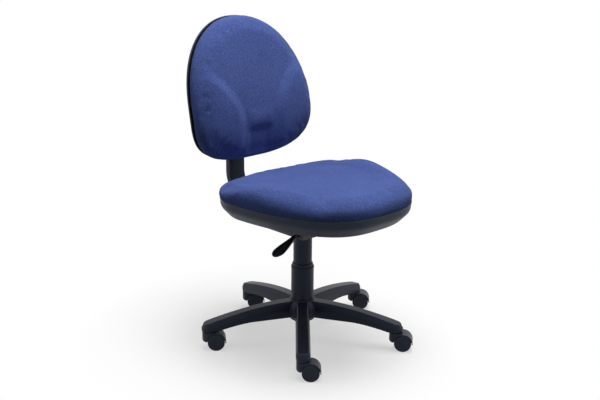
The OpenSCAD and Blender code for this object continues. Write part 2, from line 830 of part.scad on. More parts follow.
module at_pan_screws() {
    for (t = [40, 140, 222, 318])
        let (p = seat_point(t, pan_inset + 26)) translate([p[0], p[1], 0]) children();
}

module pan_screws() {
    color([0.3, 0.3, 0.32])
    at_pan_screws() {
        translate([0, 0, pan_base_z - 2.5]) cylinder(d = 10, h = 2.5);
        translate([0, 0, pan_base_z - e]) cylinder(d = screw_d, h = pan_wall + 9);
    }
}

module seat_board() {
    color([0.75, 0.6, 0.4])
    difference() {
        skin([
            seat_ring(board_z, pan_inset + pan_wall + 6),
            seat_ring(board_top, pan_inset + pan_wall + 6)
        ]);
        at_bolts() {
            translate([0, 0, board_z - 1]) cylinder(d = bolt_d + 3, h = seat_board_t + 2);
            translate([0, 0, board_top - 1.2]) cylinder(d = 20, h = 3);
        }
        at_pan_screws() translate([0, 0, board_z - 1]) cylinder(d = screw_d, h = 10);
    }
}

// Height of the cushion: the rise falls off towards the rear, and the hollow deepens
// towards the middle
function seat_top(p, rise, hollow) =
    let (rear = max(0, (p[1] - seat_wide_y) / seat_rear))
    seam_z + rise * (1 - seat_fall * min(1, pow(rear, 0.9))) - seat_dish * hollow;
function cushion_ring(inset, rise, hollow) =
    [for (i = [0:seat_steps - 1])
        let (p = seat_point(360 / seat_steps * i, inset))
        [p[0], p[1], seat_top(p, rise, hollow)]];

module seat_cushion() {
    floor_z = board_top + seat_gap;
    side = pan_wall + 2;
    r = cushion_rise;
    b = cushion_bulge;
    color([0.2, 0.27, 0.55])
    skin([
        seat_ring(floor_z, pan_inset * 0.6 + side),
        seat_ring(seam_z - pan_band + 2, side + 3),
        seat_ring(seam_z - 3, side),
        seat_ring(seam_z + seat_gap, side),
        seat_ring(seam_z + seat_gap, 1),
        cushion_ring(-b * 0.6, r * 0.16, 0),
        cushion_ring(-b, r * 0.38, 0),
        cushion_ring(-b * 0.9, r * 0.6, 0),
        cushion_ring(-b * 0.3, r * 0.8, 0),
        cushion_ring(b * 0.9, r * 0.92, 0),
        cushion_ring(b * 2.6, r, 0),
        cushion_ring(b * 5, r * 1.03, 0.1),
        cushion_ring(b * 9, r * 1.04, 0.45),
        cushion_ring(b * 14, r * 1.04, 0.85),
        cushion_ring(b * 17, r * 1.04, 1)
    ]);
}

// ---- Clamp knobs ----
module knob(h) {
    lobes = 6;
    difference() {
        union() {
            cylinder(d = knob_d - 5, h = h);
            for (i = [1:lobes]) rotate([0, 0, 360 / lobes * i])
                translate([knob_d / 2 - 6, 0, 0]) cylinder(d = 12, h = h - 1, $fn = 32);
        }
        translate([0, 0, -1]) cylinder(d = stud_d, h = h - 3);
    }
}

depth_knob_z = mech_base_z - 4;
knob_h = 18;

module depth_stud() {
    color([0.65, 0.65, 0.68])
    translate([0, knob_y, depth_knob_z - knob_h + 4])
        cylinder(d = stud_d, h = bar_z - bar_t / 2 - slide_gap - depth_knob_z + knob_h - 4);
}

module depth_knob() {
    color([0.06, 0.06, 0.07])
    translate([0, knob_y, depth_knob_z]) rotate([180, 0, 0]) knob(knob_h);
}

height_knob_y = hump_in_y + hump_wall + 4;

module height_stud() {
    start = bar_y + bar_t / 2 + slide_gap;
    color([0.65, 0.65, 0.68])
    translate([0, start, height_knob_z]) rotate([-90, 0, 0])
        cylinder(d = stud_d, h = height_knob_y + knob_h - 4 - start);
}

module height_knob() {
    color([0.06, 0.06, 0.07])
    translate([0, height_knob_y, height_knob_z]) rotate([-90, 0, 0]) knob(knob_h);
}

// ---- Back bar ----
// Cranked strip, half a thickness t either side of the bar's centre line and w wide
module crank(t, y0, z1, w) {
    bends = [for (i = [0:15]) 270 + 90 * i / 15];
    function bend(r, a) = [bar_y - bar_bend_r + r * cos(a), bar_z + bar_bend_r + r * sin(a)];
    translate([-w / 2, 0, 0]) rotate([90, 0, 90]) linear_extrude(w)
        polygon(concat(
            [[y0, bar_z + t / 2], [y0, bar_z - t / 2]],
            [for (a = bends) bend(bar_bend_r + t / 2, a)],
            [[bar_y + t / 2, z1], [bar_y - t / 2, z1]],
            [for (i = [15:-1:0]) bend(bar_bend_r - t / 2, bends[i])]
        ));
}

module back_bar() {
    color([0.15, 0.15, 0.16])
    crank(bar_t, bar_front, bar_top_z - 3, bar_w);
}

module bar_sleeve() {
    slot_half = stud_d / 2 + 1;
    color([0.08, 0.08, 0.09])
    difference() {
        crank(sleeve_t, sleeve_front, bar_top_z, sleeve_w);
        crank(bar_t + 2 * sleeve_bore, sleeve_front - 1, bar_top_z - 3 + sleeve_bore,
            bar_w + 2 * sleeve_bore);
        translate([-slot_half, bar_y, height_knob_z - height_down - slot_half])
            cube([2 * slot_half, sleeve_t, height_up + height_down + 2 * slot_half]);
    }
}

// ---- Back ----
back_steps = 52;

function back_point(t, inset) =
    let (
        b = (sin(t) < 0 ? back_down : back_up) - inset,
        r = oval(back_w / 2 - inset, b, sin(t) < 0 ? back_low_n : back_top_n, t)
    )
    [r * cos(t), back_wide_z + r * sin(t)];
// Ring that follows the spine, set back by an offset
function back_ring(inset, set_back) =
    [for (i = [0:back_steps - 1])
        let (p = back_point(360 / back_steps * i, inset))
        [p[0], spine(p[1]) + set_back, p[1]]];

// Thin curved shell: outer rings, the rim, then the inner rings
module back_form() {
    d = shell_depth;
    w = shell_wall;
    skin([
        back_ring(110, lip + d), back_ring(80, lip + d * 0.99), back_ring(50, lip + d * 0.96),
        back_ring(20, lip + d * 0.8), back_ring(6, lip + d * 0.45), back_ring(0, lip + 2),
        back_ring(0, lip - 4), back_ring(w, lip - 4), back_ring(w, lip + 1),
        back_ring(6 + w, lip + d * 0.45 - w * 0.8), back_ring(20 + w, lip + d * 0.8 - w),
        back_ring(50 + w, lip + d * 0.96 - w), back_ring(80, lip + d * 0.99 - w),
        back_ring(110, lip + d - w)
    ]);
}

// Housing on the shell's rear that the bar slides into. Its front follows the spine.
module hump(half_x, rear_y, low_z, top_z, front) {
    steps = 8;
    translate([-half_x, 0, 0]) rotate([90, 0, 90]) linear_extrude(2 * half_x)
        polygon(concat(
            [[rear_y - 3, low_z], [rear_y, low_z + 4], [rear_y, top_z - 34],
                [rear_y - 5, top_z - 12], [rear_y - 18, top_z]],
            [for (i = [0:steps]) let (z = top_z + (low_z - top_z) * i / steps)
                [spine(z) + front, z]]
        ));
}

hump_base = back_wide_z - back_down + 12;
board_rear = lip - 2;                   // rear face of the back board behind the spine

// Block that follows the spine, from one offset behind it to another
module spine_block(from, to) {
    low = back_wide_z - back_down - 10;
    high = back_wide_z + back_up + 10;
    zs = [for (i = [0:24]) low + (high - low) * i / 24];
    translate([-back_w / 2 - 20, 0, 0]) rotate([90, 0, 90]) linear_extrude(back_w + 40)
        polygon(concat([for (z = zs) [spine(z) + to, z]],
            [for (i = [24:-1:0]) [spine(zs[i]) + from, zs[i]]]));
}

module at_back_screws() {
    for (x = [-1, 1], z = [back_wide_z - 88, back_wide_z + 112])
        translate([x * 118, spine(z), z]) rotate([-90, 0, 0]) children();
}

module back_shell() {
    boss_h = lip + shell_depth - shell_wall / 2 - board_rear;
    color([0.08, 0.08, 0.09])
    difference() {
        union() {
            back_form();
            hump(hump_in_x + hump_wall, hump_in_y + hump_wall, hump_base,
                hump_top + hump_wall, lip + shell_depth * 0.5);
            difference() {
                at_back_screws() translate([0, 0, board_rear - 4]) cylinder(d = 12, h = boss_h + 4);
                spine_block(-30, board_rear + seat_gap);
            }
        }
        hump(hump_in_x, hump_in_y, hump_base - 30, hump_top, lip - 5);
        translate([0, bar_y, height_knob_z]) rotate([-90, 0, 0]) cylinder(d = stud_d + 3, h = 60);
        at_back_screws() cylinder(d = screw_d, h = 50);
    }
}

// Plywood pressed to the spine's curve and cut to the back's outline
module back_board() {
    inset = shell_wall + 9;
    rear_y = spine(back_wide_z + back_up) + back_board_t * 2;
    color([0.75, 0.6, 0.4])
    difference() {
        intersection() {
            translate([0, rear_y, 0]) rotate([90, 0, 0])
                linear_extrude(rear_y - lumbar_y + back_board_t * 2)
                polygon([for (i = [0:back_steps - 1]) back_point(360 / back_steps * i, inset)]);
            spine_block(board_rear - back_board_t, board_rear);
        }
        at_back_screws() translate([0, 0, -3]) cylinder(d = screw_d, h = 20);
    }
}

// Steel channel that guides the sleeve, with feet that stand on the back board
module back_channel() {
    foot_w = 16;
    foot_t = 2.5;
    out_x = channel_in_x + channel_t;
    rear_y = bar_y + channel_in_y + channel_t;
    zs = [for (i = [0:8]) channel_base + channel_h * i / 8];
    function on_board(z, lift) = [spine(z) + board_rear + slide_gap + lift, z];
    color([0.14, 0.14, 0.15])
    difference() {
        union() {
            translate([-out_x, 0, 0]) rotate([90, 0, 90]) linear_extrude(2 * out_x)
                polygon(concat([for (z = zs) on_board(z, 0)],
                    [[rear_y, channel_base + channel_h], [rear_y, channel_base]]));
            translate([-out_x - foot_w, 0, 0]) rotate([90, 0, 90])
                linear_extrude(2 * (out_x + foot_w))
                polygon(concat([for (z = zs) on_board(z, 0)],
                    [for (i = [8:-1:0]) on_board(zs[i], foot_t)]));
        }
        translate([-channel_in_x, 0, channel_base - 1])
            cube([2 * channel_in_x, rear_y - channel_t, channel_h + 2]);
        translate([0, bar_y, height_knob_z]) rotate([-90, 0, 0])
            cylinder(r = stud_d / 2 + run_fit, h = 40);
    }
}

module back_screws() {
    color([0.3, 0.3, 0.32])
    at_back_screws() translate([0, 0, -2]) cylinder(d = screw_d, h = 24);
}

module back_cushion() {
    t = back_pad_t;
    b = back_bulge;
    front = board_rear - back_board_t - seat_gap;
    color([0.2, 0.27, 0.55])
    difference() {
        skin([
            back_ring(110, front + 4),
            back_ring(60, front + 4),
            back_ring(14, front + 4),
            back_ring(2, front + 4),
            back_ring(-b * 0.6, front - t * 0.14),
            back_ring(-b, front - t * 0.38),
            back_ring(-b * 0.7, front - t * 0.62),
            back_ring(b * 0.6, front - t * 0.84),
            back_ring(b * 3, front - t * 0.97),
            back_ring(50, front - t),
            back_ring(100, front - t * 0.97),
            back_ring(140, front - t * 0.96)
        ]);
        spine_block(front, front + 30);
    }
}

star_base();
caster_stems();
stem_rings();
column_tube();
guide_bush();
cover_lower();
thrust_bearing();
piston_rod();
rod_clip();
bump_stop();
cover_middle();
gas_cylinder();
cover_upper();
valve_pin();
mech_housing();
mech_plate();
taper_socket();
bar_guide();
mech_bolts();
tee_nuts();
lever_pin();
lever_arm();
lever_paddle();
seat_pan();
seat_board();
pan_screws();
seat_cushion();
depth_stud();
depth_knob();
back_bar();
bar_sleeve();
back_channel();
height_stud();
height_knob();
back_board();
back_shell();
back_screws();
back_cushion();
for (i = [1:legs]) {
    on_caster(i) hood();
    on_caster(i) axle();
    on_caster(i) wheel(1);
    on_caster(i) wheel(-1);
}
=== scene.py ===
# %% [markdown]
# # A swivel office chair
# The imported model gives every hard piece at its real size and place. This lesson dresses it:
# moulded plastic, powder-coated steel, and two upholstered cushions. Lengths are in metres, +Z is
# up, and the sitter faces -Y, with the column's axis at the origin.

# %% Load the frame
import json
import math

import bmesh
import bpy
import numpy as np
from mathutils import Matrix, Vector


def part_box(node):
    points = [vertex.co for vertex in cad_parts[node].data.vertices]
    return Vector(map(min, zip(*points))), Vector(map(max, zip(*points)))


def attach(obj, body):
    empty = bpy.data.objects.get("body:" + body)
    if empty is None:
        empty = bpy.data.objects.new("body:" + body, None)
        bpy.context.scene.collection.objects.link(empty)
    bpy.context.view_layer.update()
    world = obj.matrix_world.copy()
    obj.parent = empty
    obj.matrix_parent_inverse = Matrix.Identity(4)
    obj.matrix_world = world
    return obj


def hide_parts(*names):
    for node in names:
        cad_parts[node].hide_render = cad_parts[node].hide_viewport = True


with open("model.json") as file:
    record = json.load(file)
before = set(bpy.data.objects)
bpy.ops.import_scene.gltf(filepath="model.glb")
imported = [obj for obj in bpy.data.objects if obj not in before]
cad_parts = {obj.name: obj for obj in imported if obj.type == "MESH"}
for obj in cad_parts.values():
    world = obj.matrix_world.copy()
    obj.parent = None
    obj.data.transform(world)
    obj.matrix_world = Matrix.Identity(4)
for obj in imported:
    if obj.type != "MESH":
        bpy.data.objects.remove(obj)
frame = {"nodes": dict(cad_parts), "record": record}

scene = bpy.context.scene
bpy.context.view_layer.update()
nodes = frame["nodes"]
LEGS = 5
print("solids in the frame:", len(nodes))

# %% [markdown]
# ## The camera
# A product shot is taken from far off with a long lens, so that upright lines stay upright. The
# camera stands at 46 degrees round from the front, looks a little down, and has a tiny roll.

# %% Camera
VIEW_TURN = math.radians(46)          # from the +X axis, towards +Y
VIEW_DOWN = math.radians(16.8)
CAMERA_FROM_COLUMN = 2.803
CAMERA_HEIGHT = 1.2515
LENS = 63.26

camera_data = bpy.data.cameras.new("studio_camera")
camera_data.lens = LENS
camera_data.sensor_width = 36
camera_data.shift_x = -0.0052
camera_data.shift_y = 0.0027
camera = bpy.data.objects.new("studio_camera", camera_data)
scene.collection.objects.link(camera)
look = Vector((
    math.cos(VIEW_TURN) * math.cos(VIEW_DOWN),
    math.sin(VIEW_TURN) * math.cos(VIEW_DOWN),
    -math.sin(VIEW_DOWN),
))
roll = Matrix.Rotation(math.radians(0.5), 4, "Z")
camera.matrix_world = (
    Matrix.Translation((
        -CAMERA_FROM_COLUMN * math.cos(VIEW_TURN),
        -CAMERA_FROM_COLUMN * math.sin(VIEW_TURN),
        CAMERA_HEIGHT,
    ))
    @ look.to_track_quat("-Z", "Y").to_matrix().to_4x4()
    @ roll
)
scene.camera = camera
scene.view_settings.view_transform = "Standard"
print("camera looks along", [round(v, 3) for v in look])

# %% [markdown]
# ## Shader maths in Python
# A node tree is easier to read as an expression. A Field wraps one output socket, and its
# operators add Math nodes, so `0.78 + mask * 0.14` builds two nodes. Colours never go through Math
# nodes, which would turn them grey: they are blended with Mix nodes.

# %% Sockets with operators
class Field:
    """One output socket of a node tree, with operators that add Math nodes."""

    def __init__(self, finish, socket):
        self.finish = finish
        self.socket = socket

    def _math(self, operation, *values, **more):
        return self.finish.node("ShaderNodeMath", dict(operation=operation, **more), *values)

    def __add__(self, other):
        return self._math("ADD", self, other)

    def __mul__(self, other):
        return self._math("MULTIPLY", self, other)

    __radd__ = __add__
    __rmul__ = __mul__

    def sine(self):
        return self._math("SINE", self)

    def clamped(self):
        return self._math("ADD", self, 0.0, use_clamp=True)


class Finish:
    """A material under construction. Its principled shader takes fields and plain numbers."""

    def __init__(self, name, **fixed):
        self.material = bpy.data.materials.new(name)
        self.material.use_nodes = True
        self.tree = self.material.node_tree
        self.shader = next(n for n in self.tree.nodes if n.type == "BSDF_PRINCIPLED")
        for label, value in fixed.items():
            self.shader.inputs[label.replace("_", " ")].default_value = value

    def node(self, kind, settings, *values, output=0, **named):
        """Adds a node: its settings first, then values or fields for its inputs."""
        made = self.tree.nodes.new(kind)
        for key, value in settings.items():
            setattr(made, key, value)
        for key, value in list(enumerate(values)) + list(named.items()):
            socket = made.inputs[key.replace("_", " ") if isinstance(key, str) else key]
            if isinstance(value, Field):
                self.tree.links.new(value.socket, socket)
            elif value is not None:
                socket.default_value = value
        return Field(self, made.outputs[output])

    def place(self):
        """Where a point is on the object, in metres."""
        return self.node("ShaderNodeTexCoord", {}, output="Object")

    def axes(self):
        """The place as three fields."""
        split = self.node("ShaderNodeSeparateXYZ", {}, self.place())
        return [Field(self, out) for out in split.socket.node.outputs]

    def noise(self, scale, detail=2.0, roughness=0.5, at=None):
        return self.node("ShaderNodeTexNoise", {}, Vector=at or self.place(), Scale=scale,
                         Detail=detail, Roughness=roughness)

    def ramp(self, value, low, high):
        """The value stretched so that low becomes 0 and high becomes 1."""
        return self.node("ShaderNodeMapRange", {"clamp": True}, value, low, high, 0.0, 1.0)

    def mix(self, share, first, second):
        """The first colour where share is 0, the second where it is 1."""
        colours = [c if isinstance(c, Field) else (*c, 1.0) for c in (first, second)]
        made = self.tree.nodes.new("ShaderNodeMix")
        made.data_type = "RGBA"
        for index, value in ((0, share), (6, colours[0]), (7, colours[1])):
            if isinstance(value, Field):
                self.tree.links.new(value.socket, made.inputs[index])
            else:
                made.inputs[index].default_value = value
        return Field(self, made.outputs[2])

    def bump(self, height, depth):
        """A relief of that height field, depth metres high where the field is 1."""
        return self.node("ShaderNodeBump", {}, Strength=1.0, Distance=depth, Height=height)

    def set(self, **inputs):
        for label, value in inputs.items():
            socket = self.shader.inputs[label.replace("_", " ")]
            if isinstance(value, Field):
                self.tree.links.new(value.socket, socket)
            else:
                socket.default_value = value
        return self.material


# %% [markdown]
# ## Upholstery cloth
# The cover is a tightly woven polyester: warp and weft about a millimetre apart, and yarns that
# took the dye unevenly, which gives a fine heathered speckle. The weave is built from sine waves
# along the object's own axes, so that it needs no unwrapping, and a few sizes of noise give the
# speckle. A little sheen lifts the edges as short fibres do.

# %% Woven cloth
def woven_cloth(name):
    cloth = Finish(name, Specular_IOR_Level=0.04, Sheen_Weight=0.06, Sheen_Roughness=0.45)
    thread = 2 * math.pi / 0.0021
    waves = [(axis * thread).sine() for axis in cloth.axes()]
    weave = waves[0] * waves[1] + waves[1] * waves[2] + waves[2] * waves[0]
    speckle = cloth.ramp(cloth.noise(620, detail=3, roughness=0.7), 0.33, 0.67)
    heather = cloth.ramp(cloth.noise(190, detail=3, roughness=0.6), 0.3, 0.7)
    broad = cloth.ramp(cloth.noise(9, detail=2), 0.3, 0.7)
    tone = (speckle * 0.5 + heather * 0.38 + broad * 0.12 + weave * 0.05).clamped()
    colour = cloth.mix(tone, (0.026, 0.042, 0.140), (0.095, 0.142, 0.410))
    relief = weave * 0.35 + speckle * 0.5
    return cloth.set(Base_Color=colour, Roughness=0.78 + speckle * 0.14,
                     Normal=cloth.bump(relief, 0.00035))


# %% [markdown]
# ## Moulded plastics and coated steel
# A black moulding is never quite black: the tool's fine spark texture scatters light, and its
# gloss varies a little from place to place. The same function serves every plastic, with its own
# colour and gloss. Powder coat is similar but has a slow orange-peel ripple.

# %% Plastics
def moulded_plastic(name, colour, rough, dust):
    plastic = Finish(name, IOR=1.33, Specular_Tint=(0.65, 0.78, 1.0, 1.0))
    fine = plastic.noise(1500, detail=2, roughness=0.6)
    slow = plastic.ramp(plastic.noise(14, detail=3), 0.25, 0.75)
    lighter = tuple(c * 1.25 + dust for c in colour)
    shade = plastic.mix(slow * 0.5 + fine * 0.3, colour, lighter)
    return plastic.set(Base_Color=shade, Roughness=rough + slow * 0.07 + fine * 0.05,
                       Normal=plastic.bump(fine, 0.00012))


def powder_coat(name, colour, rough):
    coat = Finish(name, IOR=1.5)
    peel = coat.noise(420, detail=2, roughness=0.5)
    fleck = coat.ramp(coat.noise(2600, detail=1), 0.45, 0.6)
    shade = coat.mix(fleck * 0.5, colour, tuple(c * 1.5 + 0.01 for c in colour))
    return coat.set(Base_Color=shade, Roughness=rough + peel * 0.12,
                    Normal=coat.bump(peel + fleck * 0.3, 0.00012))


# %% Metals, wood and rubber
def plated_steel(name, colour, rough):
    metal = Finish(name)
    streak = metal.noise(300, detail=3, roughness=0.7)
    patch = metal.ramp(metal.noise(60, detail=2), 0.3, 0.7)
    shade = metal.mix(patch, colour, tuple(c * 0.82 for c in colour))
    return metal.set(Base_Color=shade, Metallic=1.0, Roughness=rough + streak * 0.18)


def bare_plywood(name):
    ply = Finish(name, Specular_IOR_Level=0.3)
    x, y, z = ply.axes()
    rings = (x * 260 + ply.noise(12, detail=4) * 9).sine() * 0.5 + 0.5
    plies = ((z + y * 0.4) * (2 * math.pi / 0.0028)).sine() * 0.5 + 0.5
    grain = ply.mix(rings * 0.6, (0.66, 0.48, 0.29), (0.50, 0.34, 0.19))
    shade = ply.mix(plies * 0.25, grain, (0.36, 0.24, 0.13))
    return ply.set(Base_Color=shade, Roughness=0.7 + rings * 0.1)


def soft_rubber(name):
    rubber = Finish(name, Specular_IOR_Level=0.3)
    bloom = rubber.ramp(rubber.noise(90, detail=4), 0.35, 0.7)
    shade = rubber.mix(bloom, (0.018, 0.018, 0.019), (0.035, 0.035, 0.036))
    return rubber.set(Base_Color=shade, Roughness=0.75 + bloom * 0.15)


MATERIALS = {
    "upholstery": woven_cloth("woven_blue_cloth"),
    "plastic": moulded_plastic("base_nylon", (0.009, 0.0115, 0.0215), 0.34, dust=0.001),
    "caster_plastic": moulded_plastic("caster_nylon", (0.024, 0.028, 0.040), 0.32, dust=0.002),
    "pan_plastic": moulded_plastic("pan_polypropylene", (0.029, 0.034, 0.052), 0.42, dust=0.003),
    "cover_plastic": moulded_plastic("cover_polypropylene", (0.010, 0.0120, 0.0185), 0.38,
                                     dust=0.002),
    "white_plastic": moulded_plastic("acetal", (0.72, 0.72, 0.68), 0.35, dust=0.0),
    "powder_black": powder_coat("black_powder_coat", (0.015, 0.015, 0.017), 0.42),
    "zinc": plated_steel("zinc_plate", (0.58, 0.60, 0.63), 0.28),
    "rod_steel": plated_steel("ground_steel", (0.70, 0.71, 0.74), 0.08),
    "valve_steel": powder_coat("red_lacquer", (0.42, 0.03, 0.02), 0.35),
    "screw_black": powder_coat("black_oxide", (0.02, 0.02, 0.022), 0.45),
    "rubber": soft_rubber("stop_rubber"),
    "plywood": bare_plywood("beech_plywood"),
}
slot_of = {entry["node"]: entry["material_slot"] for entry in frame["record"]["subparts"]}
for name, node in nodes.items():
    node.data.materials.clear()
    node.data.materials.append(MATERIALS[slot_of[name]])
print("finishes:", len(MATERIALS))

# %% [markdown]
# ## Making a piece
# Every visible piece goes through one function. It builds the mesh, turns the faces outwards,
# marks the edges that should stay crisp, and says which body the piece moves with and which solid
# of the model it stands for.

# %% A piece from points and faces
def mesh_of(name, points, faces):
    mesh = bpy.data.meshes.new(name)
    mesh.from_pydata([tuple(float(c) for c in p) for p in points], [], faces)
    shape = bmesh.new()
    shape.from_mesh(mesh)
    bmesh.ops.remove_doubles(shape, verts=shape.verts, dist=1e-6)
    bmesh.ops.recalc_face_normals(shape, faces=shape.faces)
    shape.to_mesh(mesh)
    shape.free()
    return mesh


def crisp(mesh, degrees=40):
    """Smooth shading everywhere, except over edges sharper than that."""
    for face in mesh.polygons:
        face.use_smooth = True
    mesh.set_sharp_from_angle(angle=math.radians(degrees))


def new_object(name, mesh):
    made = bpy.data.objects.new(name, mesh)
    scene.collection.objects.link(made)
    return made


def settle(piece, body, slot, *replaced):
    """Gives a finished piece its material, its body, and the solids it stands for."""
    piece.data.materials.clear()
    piece.data.materials.append(MATERIALS[slot])
    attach(piece, body)
    if replaced:
        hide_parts(*replaced)
    return piece


def apply_modifiers(piece):
    graph = bpy.context.evaluated_depsgraph_get()
    mesh = bpy.data.meshes.new_from_object(piece.evaluated_get(graph))
    piece.modifiers.clear()
    piece.data = mesh
    return piece


def soften(piece, width):
    """Rounds the hard edges of a pressed piece."""
    edge = piece.modifiers.new("rounded_edges", "BEVEL")
    edge.width = width
    edge.segments = 2
    edge.limit_method = "ANGLE"
    edge.angle_limit = math.radians(30)
    edge.harden_normals = False
    return apply_modifiers(piece)


# %% Skins and turned shapes
def loft(rings, start=True, end=True):
    """Points and faces of a skin through closed rings that have equally many points."""
    count = len(rings[0])
    points = np.concatenate([np.asarray(r, float) for r in rings])
    faces = []
    for j in range(len(rings) - 1):
        for i in range(count):
            k = (i + 1) % count
            faces.append((j * count + i, j * count + k, (j + 1) * count + k,
                          (j + 1) * count + i))
    for wanted, first in ((start, 0), (end, (len(rings) - 1) * count)):
        if wanted:
            middle = len(points)
            points = np.vstack([points, points[first:first + count].mean(0)])
            faces += [(first + i, first + (i + 1) % count, middle) for i in range(count)]
    return points, faces


def turned(profile, steps=96):
    """Points and faces of a closed outline of (radius, height) turned about Z."""
    angles = np.arange(steps) * 2 * math.pi / steps
    rings = [
        np.column_stack([max(r, 1e-7) * np.cos(angles), max(r, 1e-7) * np.sin(angles),
                         np.full(steps, h)])
        for r, h in profile
    ]
    return loft(rings + [rings[0]], start=False, end=False)


def rounded(corners, radius, steps=4):
    """A polygon's corners rounded: (x, y) corners, or (x, y, own radius)."""
    result = []
    total = len(corners)
    for i, corner in enumerate(corners):
        here = np.array(corner[:2], float)
        size = corner[2] if len(corner) > 2 else radius
        before = np.array(corners[i - 1][:2], float)
        after = np.array(corners[(i + 1) % total][:2], float)
        a, b = before - here, after - here
        la, lb = np.linalg.norm(a), np.linalg.norm(b)
        size = min(size, la * 0.49, lb * 0.49)
        if size <= 0:
            result.append(here)
            continue
        start, end = here + a / la * size, here + b / lb * size
        for s in np.linspace(0, 1, steps + 1):
            result.append((1 - s) ** 2 * start + 2 * s * (1 - s) * here + s ** 2 * end)
    return np.array(result)


def turned_piece(name, corners, radius, body, slot, *replaced):
    piece = new_object(name, mesh_of(name, *turned(rounded(corners, radius))))
    crisp(piece.data, 50)
    return settle(piece, body, slot, *replaced)


# %% Cutting, fusing, easing
def join(name, parts):
    """One mesh from several (points, faces) pairs."""
    points, faces = [], []
    for more_points, more_faces in parts:
        base = len(points)
        points += [tuple(p) for p in more_points]
        faces += [tuple(i + base for i in face) for face in more_faces]
    return new_object(name, mesh_of(name, points, faces))


def cut(piece, *tools):
    """Takes each tool, a (points, faces) pair, out of the piece."""
    for points, faces in tools:
        tool = new_object("tool", mesh_of("tool", points, faces))
        step = piece.modifiers.new("cut", "BOOLEAN")
        step.operation = "DIFFERENCE"
        step.solver = "EXACT"
        step.object = tool
        apply_modifiers(piece)
        bpy.data.objects.remove(tool)
    return piece


def fuse(piece, voxel, passes):
    """Melts overlapping solids into one skin with rounded corners, as a moulding has."""
    skin = piece.modifiers.new("skin", "REMESH")
    skin.mode = "VOXEL"
    skin.voxel_size = voxel
    skin.use_smooth_shade = True
    even = piece.modifiers.new("even", "SMOOTH")
    even.factor = 0.5
    even.iterations = passes
    return apply_modifiers(piece)


def moved(shape, matrix):
    points, faces = shape
    points = np.asarray(points, float)
    turn = np.array(matrix)
    return points @ turn[:3, :3].T + turn[:3, 3], faces


def eased_copy(node, width):
    """A copy of a solid of the model with its hard edges rounded."""
    shape = bmesh.new()
    shape.from_mesh(nodes[node].data)
    bmesh.ops.remove_doubles(shape, verts=shape.verts, dist=1e-6)
    bmesh.ops.dissolve_limit(shape, angle_limit=math.radians(1), verts=shape.verts,
                             edges=shape.edges)
    mesh = bpy.data.meshes.new(node + "_eased")
    shape.to_mesh(mesh)
    shape.free()
    piece = soften(new_object(node + "_eased", mesh), width)
    crisp(piece.data, 45)
    return piece


# %% [markdown]
# ## The five-star base
# One nylon moulding: a hub and five arched legs that thin towards their tips. Each leg is a skin
# through cross-sections with a flat top, a crease along its side and a slightly narrower foot.
# Pockets with ribs are cut from below, as the tool's core leaves them. Melting the hub and legs
# into one skin gives the small fillets that every moulding has where its walls meet.

# %% Leg sections
CASTER_CIRCLE = 0.275
LEG_TURN = 226.8
LEG_WIDTH = 0.040
LEG_TOP_WIDTH = 0.031
TOP_END = 0.0150                      # how far the flat top runs past the caster's axis
ROOT_RADIUS = 0.0345
ROOT_Z, NOSE_Z, BELLY_Z, END_Z = 0.117, 0.080, 0.0695, 0.0537
BELLY_LEVEL, BELLY_DROP = 0.150, 0.106   # the lower edge is level up to here, then falls over this
HUB_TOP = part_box("star_base")[1].z
BASE_WALL = 0.0035


def leg_top(r):
    along = max(0.0, r - ROOT_RADIUS) / (CASTER_CIRCLE - ROOT_RADIUS)
    return ROOT_Z - (ROOT_Z - NOSE_Z) * along ** 1.75


def round_end(r, reach):
    """A leg's width there as a share of its full width, for an end that is half round."""
    past = min(1.0, max(0.0, (r - CASTER_CIRCLE) / reach))
    return math.sqrt(1 - past * past)


def leg_section(r, inset=0.0, below=0.0, roof=0.0):
    """Corners of a leg's cross-section at a distance r from the column."""
    s = round_end(r, LEG_WIDTH / 2)
    flat = round_end(r, TOP_END)
    low = BELLY_Z - (BELLY_Z - END_Z) * min(1.0, max(0.0, (r - BELLY_LEVEL) / BELLY_DROP)) ** 1.6
    past_lip = max(0.0, (r - CASTER_CIRCLE - TOP_END) / (LEG_WIDTH / 2 - TOP_END))
    top = leg_top(min(r, CASTER_CIRCLE + TOP_END)) - 0.0015 * (1 - flat) - 0.008 * past_lip
    middle = low + (leg_top(r) - low) * 0.52
    half_top = max(0.0003, LEG_TOP_WIDTH / 2 * min(flat, s) - inset)
    half_mid = max(0.0004, LEG_WIDTH / 2 * s - inset)
    half_low = max(0.0003, (LEG_WIDTH / 2 - 0.0012) * s - inset)
    half = [(half_low, low - below, 0.0012 * s), (half_mid, middle, 0.004 * s),
            (half_top, top - roof, max(0.0001, 0.0026 * flat))]
    corners = half + [(-y, z, c) for y, z, c in reversed(half)]
    return np.array([(r, y, z) for y, z in rounded(corners, 0.002, steps=5)])


tip = [CASTER_CIRCLE + LEG_WIDTH / 2 * math.sin(math.radians(a)) for a in range(0, 89, 4)]
stations = list(np.linspace(0.033, CASTER_CIRCLE - 0.004, 60)) + tip
leg = new_object("leg", mesh_of("leg", *loft([leg_section(r) for r in stations])))
POCKET_START, POCKET_END, POCKETS, RIB = 0.052, 0.251, 17, 0.0025
ribs = np.linspace(POCKET_START, POCKET_END, POCKETS + 1)
pockets = [
    loft([leg_section(r, BASE_WALL, 0.006, BASE_WALL + 0.0005)
          for r in (start + RIB / 2, end - RIB / 2)])
    for start, end in zip(ribs, ribs[1:])
]
cut(leg, *pockets)
print("points in a leg:", len(leg.data.vertices))

